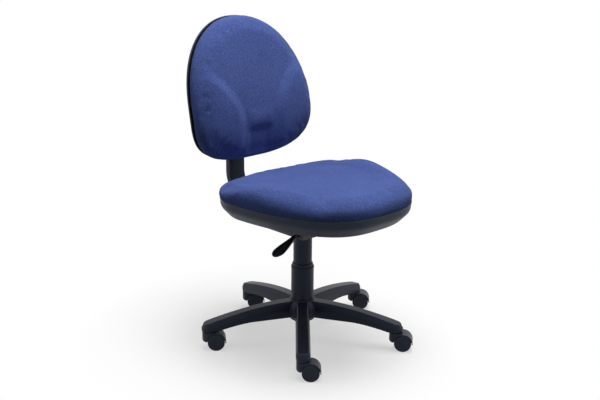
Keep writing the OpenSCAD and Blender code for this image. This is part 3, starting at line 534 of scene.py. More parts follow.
# %% Base in one skin
leg_shape = (
    np.array([v.co for v in leg.data.vertices]),
    [tuple(face.vertices) for face in leg.data.polygons],
)
bpy.data.objects.remove(leg)
hub_corners = [
    (0.0250, 0.060), (0.0365, 0.060), (0.0385, BELLY_Z - 0.002), (0.0475, BELLY_Z + 0.003),
    (0.0465, ROOT_Z - 0.022, 0.01), (0.0415, ROOT_Z - 0.010, 0.005), (0.0360, ROOT_Z - 0.003),
    (ROOT_RADIUS, ROOT_Z), (ROOT_RADIUS, HUB_TOP), (0.0250, HUB_TOP),
]
leg_turns = [math.radians(LEG_TURN + 360 / LEGS * i) for i in range(LEGS)]
star = join("star_base_moulding", [
    turned(rounded(hub_corners, 0.0008)),
    *[moved(leg_shape, Matrix.Rotation(a, 4, "Z")) for a in leg_turns],
])
fuse(star, 0.0013, 2)
stem_holes = [
    moved(turned([(0, 0.05), (0.0059, 0.05), (0.0059, END_Z + 0.021), (0, END_Z + 0.021)], 32),
          Matrix.Translation((CASTER_CIRCLE * math.cos(a), CASTER_CIRCLE * math.sin(a), 0)))
    for a in leg_turns
]
cut(star, *stem_holes)
crisp(star.data, 60)
settle(star, "base", "plastic", "star_base")
print("base skin:", len(star.data.polygons), "faces")

# %% [markdown]
# ## Twin-wheel casters
# A caster is a hood that swivels on its stem, with a web between two wheels and a mudguard that
# wraps over both. The hood is fused from a turned neck, a disc and a swept guard, with the wheel
# rooms cut out. Each wheel is a turned disc with a rounded shoulder and a plain, slightly domed
# face. One mesh of each serves all five casters.

# %% Hood
WHEEL_R = 0.024
TRAIL = 0.020
HOOD_TOP = 0.0524
GUARD_IN, GUARD_T, GUARD_W = 0.0254, 0.0026, 0.043
NECK_R = 0.0185
STEM_STEP = HOOD_TOP - 0.009          # the stem is thinner below this, to fit inside the web
WEB_W = 0.0114
across = Matrix.Translation((TRAIL, 0, WHEEL_R)) @ Matrix.Rotation(math.radians(90), 4, "X")


def swept_guard(inner, outer, half, start, end, edge):
    """Part of a ring with rounded edges, round the local Z axis."""
    section = rounded([(inner, -half), (outer, -half, edge), (outer, half, edge), (inner, half)],
                      0.0004)
    rings = []
    for a in np.radians(np.linspace(start, end, 60)):
        rings.append([(r * math.cos(a), r * math.sin(a), w) for r, w in section])
    return loft(rings)


neck_corners = [
    (0.0, WHEEL_R - 0.002), (NECK_R, WHEEL_R - 0.002, 0.016), (NECK_R, HOOD_TOP, 0.0010),
    (0.0, HOOD_TOP),
]
hood = join("caster_hood", [
    turned(rounded(neck_corners, 0, 8)),
    moved(turned([(0, -WEB_W / 2), (0.020, -WEB_W / 2), (0.020, WEB_W / 2), (0, WEB_W / 2)]),
          across),
    moved(swept_guard(GUARD_IN - 0.001, GUARD_IN + GUARD_T, GUARD_W / 2, -4, 130, 0.0012),
          across),
    moved(swept_guard(0.018, GUARD_IN + 0.0005, WEB_W / 2, -4, 146, 0.0004), across),
])
fuse(hood, 0.0007, 2)
rooms = [
    moved(turned([(0, lo), (GUARD_IN, lo), (GUARD_IN, hi), (0, hi)]), across)
    for lo, hi in ((WEB_W / 2, 0.05), (-0.05, -WEB_W / 2))
]
bores = [moved(turned([(0, -0.03), (0.0041, -0.03), (0.0041, 0.03), (0, 0.03)], 48), across),
         turned([(0, HOOD_TOP - 0.025), (0.00405, HOOD_TOP - 0.025), (0.00405, STEM_STEP - 0.0003),
                 (0.00555, STEM_STEP - 0.0003), (0.00555, 0.07), (0, 0.07)], 48)]
cut(hood, *rooms, *bores)
crisp(hood.data, 38)
print("hood:", len(hood.data.polygons), "faces")

# %% Wheel
INNER, OUTER = 0.0065, 0.0230
wheel_corners = [
    (0.00405, INNER), (0.008, INNER), (0.008, INNER + 0.007), (0.019, INNER + 0.007),
    (0.019, INNER, 0.0005), (0.0226, INNER, 0.0010), (WHEEL_R, INNER + 0.002, 0.0010),
    (WHEEL_R, OUTER - 0.0008, 0.0026), (0.0140, OUTER - 0.0001, 0.006), (0.0, OUTER),
    (0.0, 0.0202), (0.00405, 0.0202),
]
wheel_shape = turned(rounded(wheel_corners, 0.0002, 3), 112)
wheel_mesh = {}
for side, turn in (("right", 1), ("left", -1)):
    stand = Matrix.Translation((TRAIL, 0, WHEEL_R)) @ Matrix.Rotation(
        math.radians(-90 * turn), 4, "X")
    points, faces = moved(wheel_shape, stand)
    wheel_mesh[side] = mesh_of("caster_wheel_" + side, points, faces)
    crisp(wheel_mesh[side], 50)


def middle_of(node):
    low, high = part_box(node)
    return (low + high) / 2


CASTER_TURNS = [-44, -50, -47, -41, -38]      # no two casters trail quite the same way
WHEEL_MIDDLE = (INNER + OUTER) / 2
for i, (a, turn) in enumerate(zip(leg_turns, CASTER_TURNS), start=1):
    place = Matrix.Translation((CASTER_CIRCLE * math.cos(a), CASTER_CIRCLE * math.sin(a), 0))
    place = place @ Matrix.Rotation(math.radians(turn), 4, "Z")
    shell = new_object(f"caster_hood_{i}", hood.data)
    shell.matrix_world = place
    settle(shell, f"caster_{i}", "caster_plastic", f"hood_{i}")
    for name in ("left", "right"):
        target = middle_of(f"wheel_{name}_{i}")
        offsets = {side: (place @ Vector((TRAIL, y, WHEEL_R)) - target).length
                   for side, y in (("right", WHEEL_MIDDLE), ("left", -WHEEL_MIDDLE))}
        side = min(offsets, key=offsets.get)
        wheel = new_object(f"caster_wheel_{name}_{i}", wheel_mesh[side])
        wheel.matrix_world = place
        settle(wheel, f"wheel_{name}_{i}", "caster_plastic", f"wheel_{name}_{i}")
bpy.data.objects.remove(hood)
print("casters dressed:", LEGS)

# %% [markdown]
# ## The column and its covers
# The gas spring hides behind three telescoping covers. Each one is a thin turned moulding with a
# small rounded lip. The middle one has a thicker rim that catches the light, and they overlap so
# that no gap opens while the seat travels. A corner is (radius, height) or (radius, height, its
# own rounding).

# %% Covers
turned_piece(
    "column_cover_lower",
    [(0.0253, 0.1215), (0.0325, 0.1215), (0.0325, 0.1260, 0.0004), (0.0320, 0.1266, 0.0004),
     (0.0320, 0.2100, 0.0006), (0.0325, 0.2110, 0.0006), (0.0325, 0.2180, 0.0014),
     (0.0305, 0.2180, 0.0004), (0.0305, 0.2120), (0.0310, 0.1229), (0.0253, 0.1229)],
    0.0002, "base", "cover_plastic", "cover_lower")
turned_piece(
    "column_cover_middle",
    [(0.0287, 0.1535), (0.0297, 0.1535), (0.0297, 0.2148, 0.0003), (0.0300, 0.2151, 0.0008),
     (0.0300, 0.2240, 0.0020), (0.0280, 0.2280, 0.0012), (0.0268, 0.2280, 0.0004),
     (0.0268, 0.2240), (0.0287, 0.2210)],
    0.0002, "middle_cover", "cover_plastic", "cover_middle")
turned_piece(
    "column_cover_upper",
    [(0.0253, 0.1835), (0.0263, 0.1835), (0.0263, 0.3280, 0.0012), (0.0143, 0.3280),
     (0.0143, 0.3260), (0.0253, 0.3260)],
    0.0002, "lift", "cover_plastic", "cover_upper")

# %% [markdown]
# ## The lever
# The paddle is a soft nylon moulding pressed on the lever's rod. It is lofted through rounded
# sections that widen, then thin towards a round tip, and both faces are hollowed for a finger.

# %% Paddle
PIVOT = Vector((-0.062, -0.055, 0.345))
LEVER_SLOPE = math.radians(26)
along_lever = (
    Matrix.Translation(PIVOT) @ Matrix.Rotation(math.pi, 4, "Z")
    @ Matrix.Rotation(LEVER_SLOPE, 4, "Y")
)
NECK, LEVER_LENGTH, PADDLE_HALF = 0.024, 0.110, 0.019


def paddle_ring(u):
    wide = math.sin(math.radians(min(90, 110 * u))) ** 1.5
    half_w = 0.0055 + (PADDLE_HALF - 0.0055) * wide
    end = 1 if u < 0.72 else math.sqrt(max(0.0004, 1 - ((u - 0.72) / 0.28) ** 2))
    half_w = half_w * end
    half_t = (0.0062 - 0.0026 * u) * (0.35 + 0.65 * end)
    hollow = 0.0016 * max(0.0, min(1.0, (u - 0.2) / 0.3)) * end
    ring = []
    for a in np.arange(64) * 2 * math.pi / 64:
        c, s = math.cos(a), math.sin(a)
        y = math.copysign(abs(c) ** 0.7, c)
        z = math.copysign(abs(s) ** 0.7, s)
        z = z * (half_t - hollow * max(0.0, 1 - (y / 0.8) ** 2) ** 1.5)
        ring.append((NECK + (LEVER_LENGTH - NECK) * u, half_w * y, z))
    return ring


steps_along = list(np.linspace(0, 0.7, 22)) + [
    0.72 + 0.28 * math.sin(math.radians(a)) for a in range(4, 90, 5)]
paddle_shape = moved(loft([paddle_ring(u) for u in steps_along]), along_lever)
paddle = new_object("lever_paddle_grip", mesh_of("lever_paddle_grip", *paddle_shape))
crisp(paddle.data, 60)
settle(paddle, "lever", "cover_plastic", "lever_paddle")
settle(eased_copy("lever_arm", 0.0006), "lever", "powder_black", "lever_arm")
print("paddle:", len(paddle.data.polygons), "faces")

# %% [markdown]
# ## The seat mechanism
# A folded steel tray under the seat, spray-coated black. Bending and coating leave small round
# edges, so copies of the model's solids get theirs eased.

# %% Tray and plate
for node, width in (("mech_housing", 0.0012), ("mech_plate", 0.0009), ("bar_guide", 0.0006)):
    settle(eased_copy(node, width), "lift", "powder_black", node)

# %% [markdown]
# ## Outlines of the seat and the back
# Both are ovals whose squareness differs between their two halves. The seat also narrows towards
# its front. Each outline is a function of how far inside the rim it lies, so the same function
# draws the pan, the cushion and the rows in between.

# %% Outline functions
def oval(half, deep, power, angle):
    return ((np.abs(np.cos(angle)) / half) ** power
            + (np.abs(np.sin(angle)) / deep) ** power) ** (-1 / power)


SEAT_HALF, SEAT_FRONT, SEAT_REAR, SEAT_WIDE_Y = 0.241, 0.341, 0.161, 0.029
SEAT_TAPER, SEAT_FRONT_POWER, SEAT_REAR_POWER = 0.15, 3.0, 2.0
ROUND = np.arange(224) * 2 * math.pi / 224


def seat_outline(inset):
    front = np.sin(ROUND) < 0
    deep = np.where(front, SEAT_FRONT, SEAT_REAR) - inset
    power = np.where(front, SEAT_FRONT_POWER, SEAT_REAR_POWER)
    r = oval(SEAT_HALF - inset, deep, power, ROUND)
    y = r * np.sin(ROUND)
    ahead = np.maximum(0, -y / deep)
    return r * np.cos(ROUND) * (1 - SEAT_TAPER * ahead ** 1.3), y + SEAT_WIDE_Y


def seat_ring(inset, z):
    x, y = seat_outline(inset)
    return np.column_stack([x, y, np.broadcast_to(z, x.shape)])


BACK_HALF, BACK_UP, BACK_DOWN, BACK_WIDE_Z = 0.210, 0.243, 0.151, 0.648
BACK_TOP_POWER, BACK_LOW_POWER = 2.12, 3.0
LUMBAR_Y, LUMBAR_Z, LUMBAR_R, RECLINE = 0.219, 0.590, 0.090, 0.363


def spine(z):
    """How far behind the column the back's middle surface lies at a height."""
    return LUMBAR_Y + RECLINE * (np.sqrt((z - LUMBAR_Z) ** 2 + LUMBAR_R ** 2) - LUMBAR_R)


def back_ring(inset, set_back):
    low = np.sin(ROUND) < 0
    deep = np.where(low, BACK_DOWN, BACK_UP) - inset
    r = oval(BACK_HALF - inset, deep, np.where(low, BACK_LOW_POWER, BACK_TOP_POWER), ROUND)
    x, z = r * np.cos(ROUND), BACK_WIDE_Z + r * np.sin(ROUND)
    return np.column_stack([x, spine(z) + set_back, z])


# %% [markdown]
# ## The seat pan
# A polypropylene tray under the cushion. Seen from the side it has two bands: a nearly upright
# one below the seam, and one that leans in to a flat bottom. The bands meet in a soft ridge, and
# a thin bead runs round the top edge.

# %% Pan
SEAM_Z, PAN_BASE, PAN_WALL, PAN_INSET = 0.441, 0.387, 0.003, 0.031
BAND_Z = SEAM_Z - 0.023
pan_profile = rounded([
    (0.120, PAN_BASE), (PAN_INSET, PAN_BASE, 0.012), (0.0020, BAND_Z, 0.011),
    (0.0009, SEAM_Z - 0.0042, 0.0006), (0.0, SEAM_Z - 0.0036, 0.0006), (0.0, SEAM_Z, 0.0009),
    (PAN_WALL, SEAM_Z, 0.0006), (0.0020 + PAN_WALL, BAND_Z),
    (PAN_INSET + PAN_WALL, PAN_BASE + PAN_WALL), (0.120, PAN_BASE + PAN_WALL),
], 0.0003, steps=5)
pan = new_object("seat_pan_moulding",
                 mesh_of("seat_pan_moulding", *loft([seat_ring(i, z) for i, z in pan_profile])))
crisp(pan.data, 50)
settle(pan, "lift", "pan_plastic", "seat_pan")
print("pan:", len(pan.data.polygons), "faces")

# %% [markdown]
# ## Upholstered cushions
# Each cushion is moulded foam under a stretched cover. Its first form is a skin through rings
# that follow the outline. The skin is remeshed evenly and blown up a little as cloth, held where
# it is stapled to the board, which rounds it as foam does. Creases and ledges are then pressed
# in, because a remesh would have blurred them, and one subdivision smooths the result.

# %% Foam and cover
def points_of(piece):
    return np.array([v.co for v in piece.data.vertices])


def put_points(piece, points):
    piece.data.vertices.foreach_set("co", np.asarray(points, np.float32).ravel())
    piece.data.update()


def smooth_step(value, start, end):
    t = np.clip((value - start) / (end - start), 0, 1)
    return t * t * (3 - 2 * t)


def plump(piece, held, cap, pressure=4.0, voxel=0.005, frames=20):
    """Remeshes a foam form and swells its cover, moving no point further than the cap."""
    fuse(piece, voxel, 2)
    rest = points_of(piece)
    group = piece.vertex_groups.new(name="held")
    group.add([int(i) for i in np.nonzero(held(rest))[0]], 1.0, "REPLACE")
    cover = piece.modifiers.new("cover", "CLOTH")
    settings = cover.settings
    settings.quality = 4
    settings.mass = 0.4
    settings.tension_stiffness = settings.compression_stiffness = 18
    settings.bending_stiffness = 2.0
    settings.use_pressure = True
    settings.uniform_pressure_force = pressure
    settings.vertex_group_mass = "held"
    settings.effector_weights.gravity = 0
    cover.point_cache.frame_start = 1
    cover.point_cache.frame_end = frames
    for frame_number in range(1, frames + 1):
        scene.frame_set(frame_number)
    graph = bpy.context.evaluated_depsgraph_get()
    swollen = np.array([v.co for v in piece.evaluated_get(graph).data.vertices])
    piece.modifiers.clear()
    piece.vertex_groups.clear()
    scene.frame_set(1)
    move = swollen - rest
    length = np.linalg.norm(move, axis=1, keepdims=True)
    put_points(piece, rest + move * np.minimum(1, cap / np.maximum(length, 1e-9)))
    print(piece.name, "swelled by up to", round(float(length.max()) * 1000, 1), "mm")
    settle_down = piece.modifiers.new("even", "SMOOTH")
    settle_down.factor = 0.5
    settle_down.iterations = 4
    finer = piece.modifiers.new("finer", "SUBSURF")
    finer.levels = finer.render_levels = 1
    return apply_modifiers(piece)


# %% [markdown]
# ## The seat cushion
# The cover is pulled tight over a wall that bulges just past the pan. The top stands highest
# along its sides and front, falls towards the rear, and has a shallow hollow where the sitter's
# weight rests. Each row below is (inset in millimetres, share of the rise).

# %% Seat form
CUSHION_RISE, SEAT_DISH, SEAT_FALL, BOLSTER = 0.039, 0.008, 0.70, 0.0085
BOARD_TOP = 0.4020


def seat_height(x, y, share, hollow):
    """Height of the cushion: it falls to the rear, and stands higher along the sides and front."""
    fall = SEAT_FALL * np.clip((y + 0.080) / 0.270, 0, 1) ** 1.6
    side = np.maximum(smooth_step(np.abs(x), 0.09, 0.20), smooth_step(-y, 0.16, 0.27))
    bolster = BOLSTER * side * (1 - smooth_step(y, -0.04, 0.09))
    return SEAM_Z + share * (CUSHION_RISE * (1 - fall) + bolster) - SEAT_DISH * hollow


side_rows = np.array([
    (1.0, 0.01), (-3.0, 0.14), (-4.9, 0.30), (-5.4, 0.46), (-5.0, 0.61), (-3.4, 0.745),
    (-0.4, 0.86), (4.0, 0.965), (9.5, 1.045), (16, 1.105), (24, 1.145), (33, 1.165),
    (44, 1.165), (57, 1.15), (70, 1.13), (85, 1.11),
])
front_rows = np.array([
    (1.0, 0.01), (-2.6, 0.11), (-4.0, 0.22), (-4.2, 0.34), (-3.0, 0.46), (-0.4, 0.575),
    (3.4, 0.68), (8.5, 0.78), (15, 0.87), (23, 0.95), (32, 1.015), (42, 1.065), (53, 1.10),
    (65, 1.12), (76, 1.13), (88, 1.13),
])
hollow_rows = [0] * 10 + [0.08, 0.27, 0.45, 0.68, 0.85, 1.0]


def cushion_ring(row, shrink=1.0):
    front = smooth_step(-seat_outline(0)[1], 0.02, 0.24)
    inset, share = side_rows[row][:, None] * (1 - front) + front_rows[row][:, None] * front
    x, y = seat_outline(inset / 1000)
    y_middle = (y.min() + y.max()) / 2
    x, y = x * shrink, y_middle + (y - y_middle) * shrink
    return np.column_stack([x, y, seat_height(x, y, share, hollow_rows[row])])


seat_rings = [
    seat_ring(0.045, BOARD_TOP + 0.0004), seat_ring(0.0236, BOARD_TOP + 0.0004),
    seat_ring(0.0080, SEAM_Z - 0.021), seat_ring(0.0050, SEAM_Z - 0.003),
    seat_ring(0.0050, SEAM_Z + 0.0003),
]
seat_rings += [cushion_ring(row) for row in range(len(side_rows))]
seat_rings += [cushion_ring(-1, q) for q in np.linspace(0.9, 0.08, 12)]
seat = new_object("seat_cushion_pad", mesh_of("seat_cushion_pad", *loft(seat_rings)))
plump(seat, lambda p: p[:, 2] < SEAM_Z + 0.001, cap=0.004)


# %% Seat relief
def seat_relief(p):
    """Heights added to the seat's top: a ridge along each side, and a hollow."""
    x, y, z = p.T
    top = smooth_step(z, SEAM_Z + 0.012, SEAM_Z + 0.034)
    ahead = np.clip((SEAT_WIDE_Y - y) / SEAT_FRONT, 0, 1)
    half = SEAT_HALF * (1 - SEAT_TAPER * ahead ** 1.3)
    side = np.abs(x) / half
    along = smooth_step(y, -0.27, -0.10) * (1 - smooth_step(y, 0.06, 0.15))
    ridge = 0.004 * np.exp(-((side - 0.74) / 0.10) ** 2) * along
    hollow = -0.005 * np.exp(-((x / 0.12) ** 2 + ((y - 0.03) / 0.11) ** 2))
    return top * (ridge + hollow)


points = points_of(seat)
points[:, 2] += seat_relief(points)
put_points(seat, points)
crisp(seat.data, 180)
settle(seat, "lift", "upholstery", "seat_cushion")
print("seat cushion:", len(seat.data.polygons), "faces")

# %% [markdown]
# ## The back cushion
# The back is one moulded foam pad. Two creases rise from its lower edge, run straight up past the
# lumbar, and flare out to the rim at shoulder height. Outside them the foam stands up in wings.
# Between them the middle panel ends in a ledge at the lumbar, with a recess below it. Rows are
# (inset in millimetres, share of the pad's thickness).

# %% Back form
PAD_T, PAD_BACK = 0.040, -0.0033
back_rows = [
    (14, 0.0), (2, 0.0), (-2.2, 0.10), (-4.0, 0.22), (-5.0, 0.36), (-4.8, 0.48), (-3.7, 0.61),
    (-1.6, 0.73), (1.6, 0.83), (6.5, 0.905), (13, 0.955), (24, 0.985), (37, 0.995), (50, 1.0),
    (75, 0.99), (100, 0.97),
]


def back_scaled(q, set_back):
    """A ring inside the last one, shrunk towards its middle."""
    ring = back_ring(0.100, 0)
    z_middle = (ring[:, 2].min() + ring[:, 2].max()) / 2
    z = z_middle + (ring[:, 2] - z_middle) * q
    return np.column_stack([ring[:, 0] * q, spine(z) + set_back, z])


back_rings = [back_scaled(q, PAD_BACK) for q in np.linspace(0.1, 0.9, 8)]
back_rings += [back_ring(inset, PAD_BACK) for inset in (0.100, 0.060)]
back_rings += [back_ring(inset / 1000, PAD_BACK - PAD_T * share) for inset, share in back_rows]
back_rings += [back_scaled(q, PAD_BACK - PAD_T * 0.97) for q in np.linspace(0.9, 0.1, 8)]
back = new_object("back_cushion_pad", mesh_of("back_cushion_pad", *loft(back_rings)))


def held_behind(p):
    return p[:, 1] > spine(p[:, 2]) + PAD_BACK - 0.004


plump(back, held_behind, cap=0.004)

# %% Creases
WING, RECESS, LUMBAR = 0.0100, 0.0085, 0.0035
CREASE = np.array([
    (0.054, 0.480), (0.053, 0.540), (0.053, 0.585), (0.0535, 0.617), (0.057, 0.640),
    (0.063, 0.660), (0.074, 0.682), (0.087, 0.701), (0.103, 0.720), (0.122, 0.740),
    (0.146, 0.757), (0.172, 0.771), (0.200, 0.783),
])


def crease_distance(x, z):
    """How far points lie from the crease: above 0 on the wings, below 0 on the middle panel."""
    side = np.column_stack([np.abs(x), z])
    best = np.full(len(side), 1e9)
    for a, b in zip(CREASE, CREASE[1:]):
        run = b - a
        t = np.clip(((side - a) @ run) / (run @ run), 0, 1)
        best = np.minimum(best, np.linalg.norm(side - a - t[:, None] * run, axis=1))
    line = np.interp(z, CREASE[:, 1], CREASE[:, 0])
    return np.where(side[:, 0] > line, best, -best)


def back_relief(p):
    """How far the back's face stands forward: wings, lumbar ledge and recess, none at the rim."""
    x, y, z = p.T
    d = crease_distance(x, z)
    face = smooth_step(spine(z) + PAD_BACK - y, PAD_T * 0.45, PAD_T * 0.9)
    rim = np.where(z < BACK_WIDE_Z, BACK_DOWN, BACK_UP)
    reach = np.hypot(x / BACK_HALF, (z - BACK_WIDE_Z) / rim)
    face = face * (1 - smooth_step(reach, 0.80, 1.02))
    wing = WING * smooth_step(d, -0.004, 0.034) * (1 - 0.7 * smooth_step(d, 0.03, 0.13))
    panel = smooth_step(-d, -0.002, 0.026)
    below = 1 - smooth_step(z, 0.574, 0.602)
    recess = -RECESS * panel * below
    lumbar = LUMBAR * panel * np.exp(-((z - 0.618) / 0.024) ** 2)
    return face * (wing + recess + lumbar)


points = points_of(back)
points[:, 1] -= back_relief(points)
put_points(back, points)
crisp(back.data, 180)
settle(back, "back", "upholstery", "back_cushion")
print("back cushion:", len(back.data.polygons), "faces")

# %% [markdown]
# ## The back shell
# A thin moulded dish closes the back from behind, and a tall hump on it houses the height slide.
# Dish and hump are melted into one skin, so that they meet in a fillet, and then the hump's
# cavity is cut, open at the bottom for the bar. Rows are (inset, how far behind the spine).

# %% Shell
BAR_Y = 0.290
KNOB_Z, HEIGHT_DOWN, HEIGHT_UP = 0.572, 0.008, 0.052
shell_profile = rounded([
    (0.080, 0.0258), (0.050, 0.0253, 0.01), (0.020, 0.0224, 0.008), (0.006, 0.0161, 0.004),
    (0.0, 0.0100, 0.003), (0.0, 0.0040, 0.001), (0.003, 0.0040, 0.001), (0.003, 0.0090, 0.002),
    (0.009, 0.0137, 0.003), (0.023, 0.0194, 0.006), (0.053, 0.0223, 0.008), (0.080, 0.0228),
], 0.0, steps=4)
shell_rings = [back_scaled(q, 0.026) for q in np.linspace(0.1, 1.0, 8)]
shell_rings += [back_ring(inset, set_back) for inset, set_back in shell_profile]
shell_rings += [back_scaled(q, 0.023) for q in np.linspace(1.0, 0.1, 8)]
HUMP_HALF, HUMP_REAR, HUMP_LOW, HUMP_TOP = 0.0343, 0.3063, 0.509, 0.7136


def hump_shape(half, rear, low, top, front, corner):
    """The slide's housing: rounded behind, and leaning in towards its top."""
    rings = []
    for z in np.concatenate([np.linspace(low, top - 0.05, 12),
                             top - 0.05 * (1 - np.sin(np.linspace(0.15, math.pi / 2, 12)))]):
        close = max(0.0, (z - (top - 0.05)) / 0.05)
        back_y = rear - 0.022 * (1 - math.sqrt(max(0.0, 1 - close ** 2)))
        back_y -= 0.003 * max(0.0, 1 - (z - low) / 0.006)
        front_y = float(spine(z)) + front
        outline = rounded([(-half, front_y, 0.0004), (half, front_y, 0.0004),
                           (half, back_y, corner), (-half, back_y, corner)], corner, 6)
        rings.append([(x, y, z) for x, y in outline])
    return loft(rings)


shell = join("back_shell_moulding", [
    loft(shell_rings),
    hump_shape(HUMP_HALF, HUMP_REAR, HUMP_LOW, HUMP_TOP, 0.018, 0.009),
])
fuse(shell, 0.0018, 5)
knob_hole = moved(turned([(0, 0), (0.0055, 0), (0.0055, 0.06), (0, 0.06)], 48),
                  Matrix.Translation((0, BAR_Y, KNOB_Z))
                  @ Matrix.Rotation(math.radians(-90), 4, "X"))
cut(shell, hump_shape(0.0317, 0.3037, 0.470, 0.711, 0.003, 0.006), knob_hole)
crisp(shell.data, 45)
settle(shell, "back", "pan_plastic", "back_shell")
print("back shell:", len(shell.data.polygons), "faces")

# %% [markdown]
# ## The bar's cover and the clamp knobs
# A plastic sleeve with rounded edges wraps the cranked steel bar. It is swept along the bar's
# path, outside and inside, and slotted behind for the height clamp. The knobs are lobed so that
# a hand can grip them.

# %% Sleeve
BAR_Z, BEND_R, SLEEVE_TOP, SLEEVE_FRONT = 0.366, 0.075, 0.640, 0.129
SLEEVE_HALF_W, SLEEVE_HALF_T = 0.029, 0.011


def bar_ring(place, normal, half_w, half_t, corner):
    outline = rounded([(-half_w, -half_t), (half_w, -half_t), (half_w, half_t),
                       (-half_w, half_t)], corner, 5)
    return [(x, place[0] + normal[0] * t, place[1] + normal[1] * t) for x, t in outline]


def bar_stations(front, top):
    """Places and normals along the bar: level, round the bend, and upright."""
    rows = [((y, BAR_Z), (0, -1)) for y in np.linspace(front, BAR_Y - BEND_R - 0.001, 12)]
    for a in np.linspace(-math.pi / 2, 0, 28):
        rows.append(((BAR_Y - BEND_R + BEND_R * math.cos(a),
                      BAR_Z + BEND_R + BEND_R * math.sin(a)), (math.cos(a), math.sin(a))))
    rows += [((BAR_Y, z), (1, 0)) for z in np.linspace(BAR_Z + BEND_R + 0.001, top, 22)]
    return rows


rows = bar_stations(SLEEVE_FRONT, SLEEVE_TOP)
ends = [0.0025, 0.0008] + [0.0] * (len(rows) - 4) + [0.0008, 0.0025]
sleeve_rings = [bar_ring(p, n, SLEEVE_HALF_W - e, SLEEVE_HALF_T - e, 0.0065)
                for (p, n), e in zip(rows, ends)]
sleeve_rings += [bar_ring(p, n, 0.0253, 0.0043, 0.0015) for p, n in reversed(rows)]
sleeve = new_object("bar_sleeve_moulding", mesh_of(
    "bar_sleeve_moulding", *loft(sleeve_rings + [sleeve_rings[0]], start=False, end=False)))
slot_low, slot_high, slot_half = KNOB_Z - HEIGHT_DOWN, KNOB_Z + HEIGHT_UP, 0.005
slot_outline = [(slot_half * math.cos(a), slot_low + slot_half * math.sin(a))
                for a in np.linspace(math.pi, 2 * math.pi, 12)]
slot_outline += [(slot_half * math.cos(a), slot_high + slot_half * math.sin(a))
                 for a in np.linspace(0, math.pi, 12)]
cut(sleeve, loft([[(x, y, z) for x, z in slot_outline] for y in (BAR_Y, BAR_Y + 0.02)]))
crisp(sleeve.data, 40)
settle(sleeve, "bar", "pan_plastic", "bar_sleeve")


# %% Knobs
def knob_shape(radius=0.021, height=0.018, lobes=6, steps=180):
    """A lobed knob that stands on its flange, with a softly crowned top."""
    angles = np.arange(steps) * 2 * math.pi / steps
    lobe = 0.5 + 0.5 * np.cos(lobes * angles)
    grip = radius - 0.0034 * (1 - lobe ** 0.6)
    rows = [(0.55, 0.0), (0.93, 0.0), (0.97, 0.0006), (1.0, 0.002), (1.0, height * 0.7),
            (0.985, height * 0.85), (0.94, height * 0.94), (0.86, height * 0.985),
            (0.72, height), (0.60, height), (0.57, height - 0.0006), (0.52, height - 0.0010),
            (0.2, height - 0.0010)]
    rings = []
    for share, h in rows:
        blend = min(1.0, max(0.0, (share - 0.6) / 0.25))
        r = share * (grip * blend + radius * 0.94 * (1 - blend))
        rings.append(np.column_stack([r * np.cos(angles), r * np.sin(angles),
                                      np.full(steps, h)]))
    return loft(rings)


depth_low, depth_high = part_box("depth_knob")
height_low, height_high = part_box("height_knob")
for node, body, place in (
    ("depth_knob", "depth_clamp", Matrix.Translation(
        ((depth_low.x + depth_high.x) / 2, (depth_low.y + depth_high.y) / 2, depth_high.z))
        @ Matrix.Rotation(math.pi, 4, "X")),
    ("height_knob", "height_clamp", Matrix.Translation(
        ((height_low.x + height_high.x) / 2, height_low.y, (height_low.z + height_high.z) / 2))
        @ Matrix.Rotation(math.radians(-90), 4, "X")),
):
    knob = new_object(node + "_grip", mesh_of(node + "_grip", *moved(knob_shape(), place)))
    crisp(knob.data, 45)
    settle(knob, body, "cover_plastic", node)
print("knobs and sleeve done")

# %% [markdown]
# ## Floor and light
# The chair stands on a white sweep. The floor glows to the camera, more so away from the chair, so
# that it reads as white and still takes the soft shadows. To diffuse rays it is grey, which keeps
# the undersides dark. Most of the light comes from a large soft box overhead, and two weak ones at
# the sides give the plastic its highlights.

# %% Floor
floor_finish = Finish("white_sweep", Roughness=0.6, Specular_IOR_Level=0.2)
glow = floor_finish.node("ShaderNodeEmission", {}, (1.0, 1.0, 1.0, 1.0), 1.0)
path = floor_finish.tree.nodes.new("ShaderNodeLightPath")
RAYS = ("Is Camera Ray", "Is Glossy Ray", "Is Transmission Ray")
camera_ray, glossy_ray, clear_ray = [Field(floor_finish, path.outputs[ray]) for ray in RAYS]
seen = (camera_ray + glossy_ray + clear_ray).clamped()
away = floor_finish.node("ShaderNodeVectorMath", {"operation": "LENGTH"}, floor_finish.place(),
                         output="Value")
floor_finish.set(Base_Color=floor_finish.mix(seen, (0.22, 0.22, 0.22), (0.93, 0.93, 0.93)))
glow_share = 0.55 + 0.45 * floor_finish.ramp(away, 0.30, 0.66)
blend = floor_finish.node("ShaderNodeMixShader", {}, seen * glow_share,
                          Field(floor_finish, floor_finish.shader.outputs[0]), glow)
surface = next(n for n in floor_finish.tree.nodes if n.type == "OUTPUT_MATERIAL")
floor_finish.tree.links.new(blend.socket, surface.inputs["Surface"])
FLOOR_HALF = 6.0
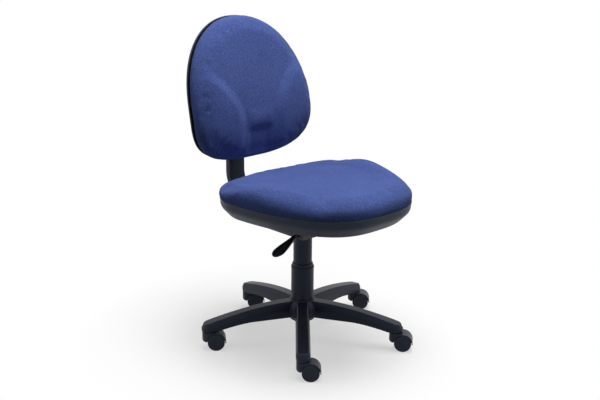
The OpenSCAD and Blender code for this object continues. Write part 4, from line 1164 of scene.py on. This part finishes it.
floor = new_object("studio_floor", mesh_of("studio_floor", [
    (-FLOOR_HALF, -FLOOR_HALF, 0), (FLOOR_HALF, -FLOOR_HALF, 0), (FLOOR_HALF, FLOOR_HALF, 0),
    (-FLOOR_HALF, FLOOR_HALF, 0)], [(0, 1, 2, 3)]))
floor.data.materials.append(floor_finish.material)

# %% World
world = bpy.data.worlds.new("studio_world")
scene.world = world
world.use_nodes = True
sky = world.node_tree
background = next(n for n in sky.nodes if n.type == "BACKGROUND")
ray = sky.nodes.new("ShaderNodeLightPath")
AMBIENT = 0.04
strength = sky.nodes.new("ShaderNodeMapRange")
either = ray.outputs[RAYS[0]]
for other in RAYS[1:]:
    most = sky.nodes.new("ShaderNodeMath")
    most.operation = "MAXIMUM"
    sky.links.new(either, most.inputs[0])
    sky.links.new(ray.outputs[other], most.inputs[1])
    either = most.outputs[0]
sky.links.new(either, strength.inputs["Value"])
strength.inputs["To Min"].default_value = AMBIENT
strength.inputs["To Max"].default_value = 1.0
sky.links.new(strength.outputs[0], background.inputs["Strength"])
background.inputs["Color"].default_value = (1, 1, 1, 1)


# %% Soft boxes
def soft_box(name, place, target, width, height, power):
    lamp = bpy.data.lights.new(name, "AREA")
    lamp.shape = "RECTANGLE"
    lamp.size, lamp.size_y = width, height
    lamp.energy = power
    made = bpy.data.objects.new(name, lamp)
    scene.collection.objects.link(made)
    aim = Vector(target) - Vector(place)
    turn = aim.to_track_quat("-Z", "Y").to_matrix().to_4x4()
    made.matrix_world = Matrix.Translation(place) @ turn


def from_camera(right, towards, up):
    """A place given to the right of the chair, towards the camera, and above the floor."""
    return (right * math.sin(VIEW_TURN) - towards * math.cos(VIEW_TURN),
            -right * math.cos(VIEW_TURN) - towards * math.sin(VIEW_TURN), up)


soft_box("box_left", from_camera(-2.2, 0.2, 1.6), (0, 0, 0.5), 0.8, 1.8, 8)
soft_box("box_right", from_camera(2.4, 0.4, 1.6), (0, 0, 0.5), 0.8, 1.8, 7)
soft_box("box_top", from_camera(0.30, 0.0, 2.6), (0, 0, 0.4), 1.7, 1.7, 74)
